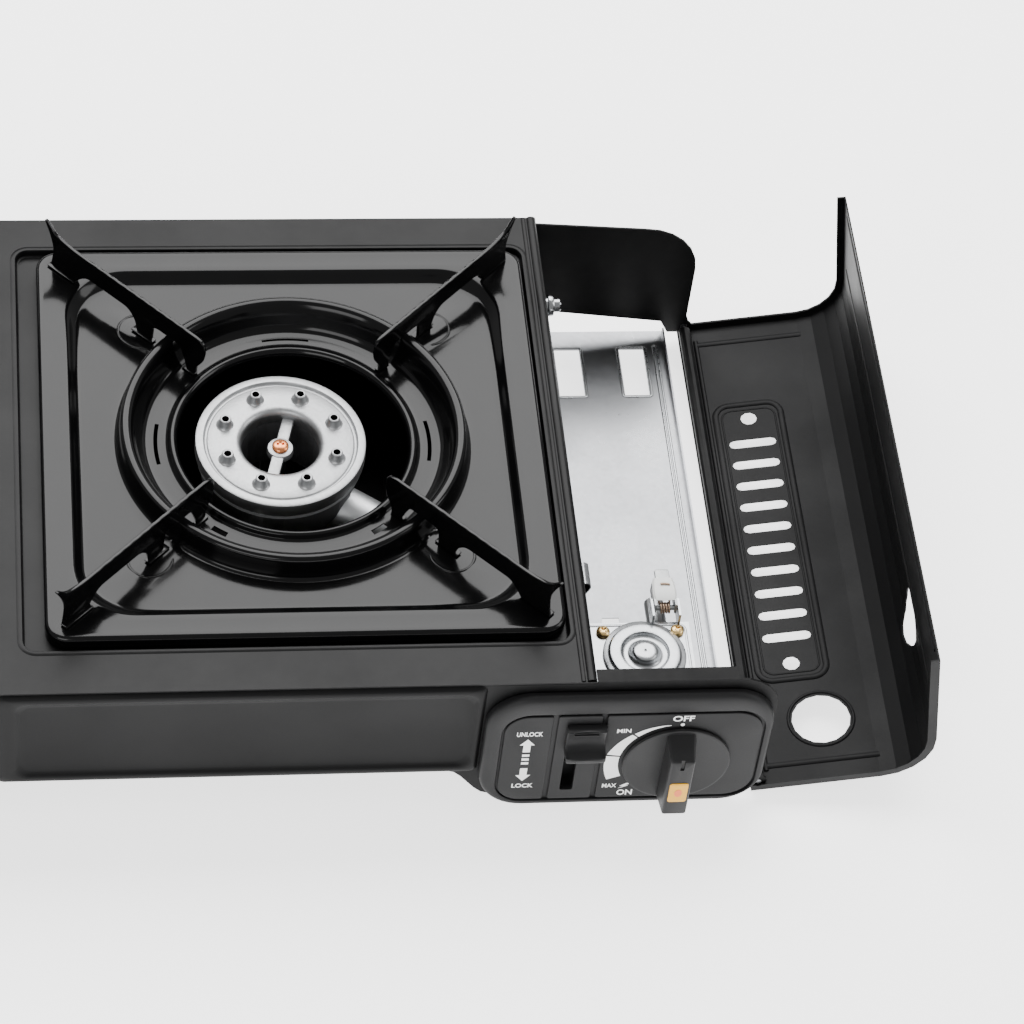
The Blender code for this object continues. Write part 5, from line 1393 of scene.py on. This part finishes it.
class STOVE_OT_studio(StoveOperator):
    """Pale floor, soft lights and the camera"""

    bl_idname = "stove.studio"
    bl_label = "Studio"

    def execute(self, context):
        self.make_floor()
        self.make_lights()
        self.make_camera()
        return {"FINISHED"}

    def make_floor(self):
        reach = size("floor_half")
        cells = [[(reach * (2 * i / 8 - 1), reach * (2 * j / 8 - 1),
                   -0.4) for i in range(9)] for j in range(9)]
        bm = skin(cells, closed=False)
        mesh = bpy.data.meshes.new("studio_floor")
        bm.to_mesh(mesh)
        bm.free()
        mesh.transform(Matrix.Scale(MM, 4))
        tone = colour("floor")
        finish("studio_floor", tone, tuple(0.985 * channel for channel in tone), rough=(0.7, 0.8),
               grain=300, depth=0.01)
        paper = bpy.data.materials["studio_floor"]
        shader = paper.node_tree.nodes["Principled BSDF"]
        shader.inputs["Emission Color"].default_value = (*tone, 1)
        shader.inputs["Emission Strength"].default_value = PAPER_GLOW
        mesh.materials.append(paper)
        floor = bpy.data.objects.new("studio_floor", mesh)
        bpy.context.scene.collection.objects.link(floor)

    def make_lights(self):
        world = bpy.data.worlds.new("studio_air")
        world.use_nodes = True
        background = world.node_tree.nodes["Background"]
        background.inputs["Color"].default_value = (1.0, 1.0, 1.0, 1.0)
        background.inputs["Strength"].default_value = 0.5
        bpy.context.scene.world = world
        for name, place_at, aim, width, height, power in (
            ("overhead_softbox", (0.1, 1.15, 1.75), (0.1, 0.0, 0.05), 2.6, 1.5, 95),
            ("front_softbox", (-0.9, -1.9, 1.3), (0.1, 0.0, 0.05), 1.4, 1.0, 22),
            ("side_softbox", (2.2, -0.3, 1.2), (0.2, 0.0, 0.05), 1.0, 1.4, 18),
        ):
            lamp = bpy.data.lights.new(name, "AREA")
            lamp.shape = "RECTANGLE"
            lamp.size = width
            lamp.size_y = height
            lamp.energy = power
            light = bpy.data.objects.new(name, lamp)
            light.location = place_at
            light.rotation_euler = (Vector(aim) - Vector(place_at)).to_track_quat("-Z",
                    "Y").to_euler()
            bpy.context.scene.collection.objects.link(light)

    def make_camera(self):
        """Above and in front of the right half, looking down at it with a long lens."""
        turn, tilt, roll = (math.radians(angle) for angle in (11.981, 50.509, 8.422))
        forward = Vector((math.sin(turn) * math.cos(tilt), math.cos(turn) * math.cos(tilt),
                          -math.sin(tilt)))
        level = Vector((math.cos(turn), -math.sin(turn), 0))
        upright = level.cross(forward)
        across = level * math.cos(roll) + upright * math.sin(roll)
        up = upright * math.cos(roll) - level * math.sin(roll)
        lens = bpy.data.cameras.new("catalogue_camera")
        lens.lens = 136.0
        lens.sensor_width = 36
        lens.clip_end = 30
        camera = bpy.data.objects.new("catalogue_camera", lens)
        columns = Matrix((across, up, -forward)).transposed().to_4x4()
        camera.matrix_world = Matrix.Translation(spot(2.806, -1120.819,
                1425.606).translation * MM) @ columns
        bpy.context.scene.collection.objects.link(camera)
        bpy.context.scene.camera = camera


# ---- the add-on's panel and its start ----

STEPS = ("finishes", "studio", "body", "pans", "trivets", "burners", "ignition", "bays",
         "regulators", "retainers",
         "lids", "panels", "knobs", "levers")


class STOVE_PT_pieces(bpy.types.Panel):
    """Lists the stove's operators and the sizes and colours that may be changed"""

    bl_idname = "STOVE_PT_pieces"
    bl_label = "Camping stove"
    bl_space_type = "VIEW_3D"
    bl_region_type = "UI"
    bl_category = "Stove"

    def draw(self, context):
        for step in STEPS:
            self.layout.operator(f"stove.{step}")
        for group in (context.scene.stove_sizes, context.scene.stove_colours):
            for name in group.__annotations__:
                self.layout.prop(group, name)


CLASSES = (
    StoveColours,
    StoveSizes,
    STOVE_OT_finishes,
    STOVE_OT_body,
    STOVE_OT_pans,
    STOVE_OT_trivets,
    STOVE_OT_burners,
    STOVE_OT_ignition,
    STOVE_OT_bays,
    STOVE_OT_regulators,
    STOVE_OT_retainers,
    STOVE_OT_lids,
    STOVE_OT_panels,
    STOVE_OT_knobs,
    STOVE_OT_levers,
    STOVE_OT_studio,
    STOVE_PT_pieces,
)


def register():
    for cls in CLASSES:
        bpy.utils.register_class(cls)
    bpy.types.Scene.stove_colours = bpy.props.PointerProperty(type=StoveColours)
    bpy.types.Scene.stove_sizes = bpy.props.PointerProperty(type=StoveSizes)


def unregister():
    del bpy.types.Scene.stove_sizes
    del bpy.types.Scene.stove_colours
    for cls in reversed(CLASSES):
        bpy.utils.unregister_class(cls)


def main():
    register()
    for step in STEPS:
        getattr(bpy.ops.stove, step)()


if __name__ == "__main__":
    main()
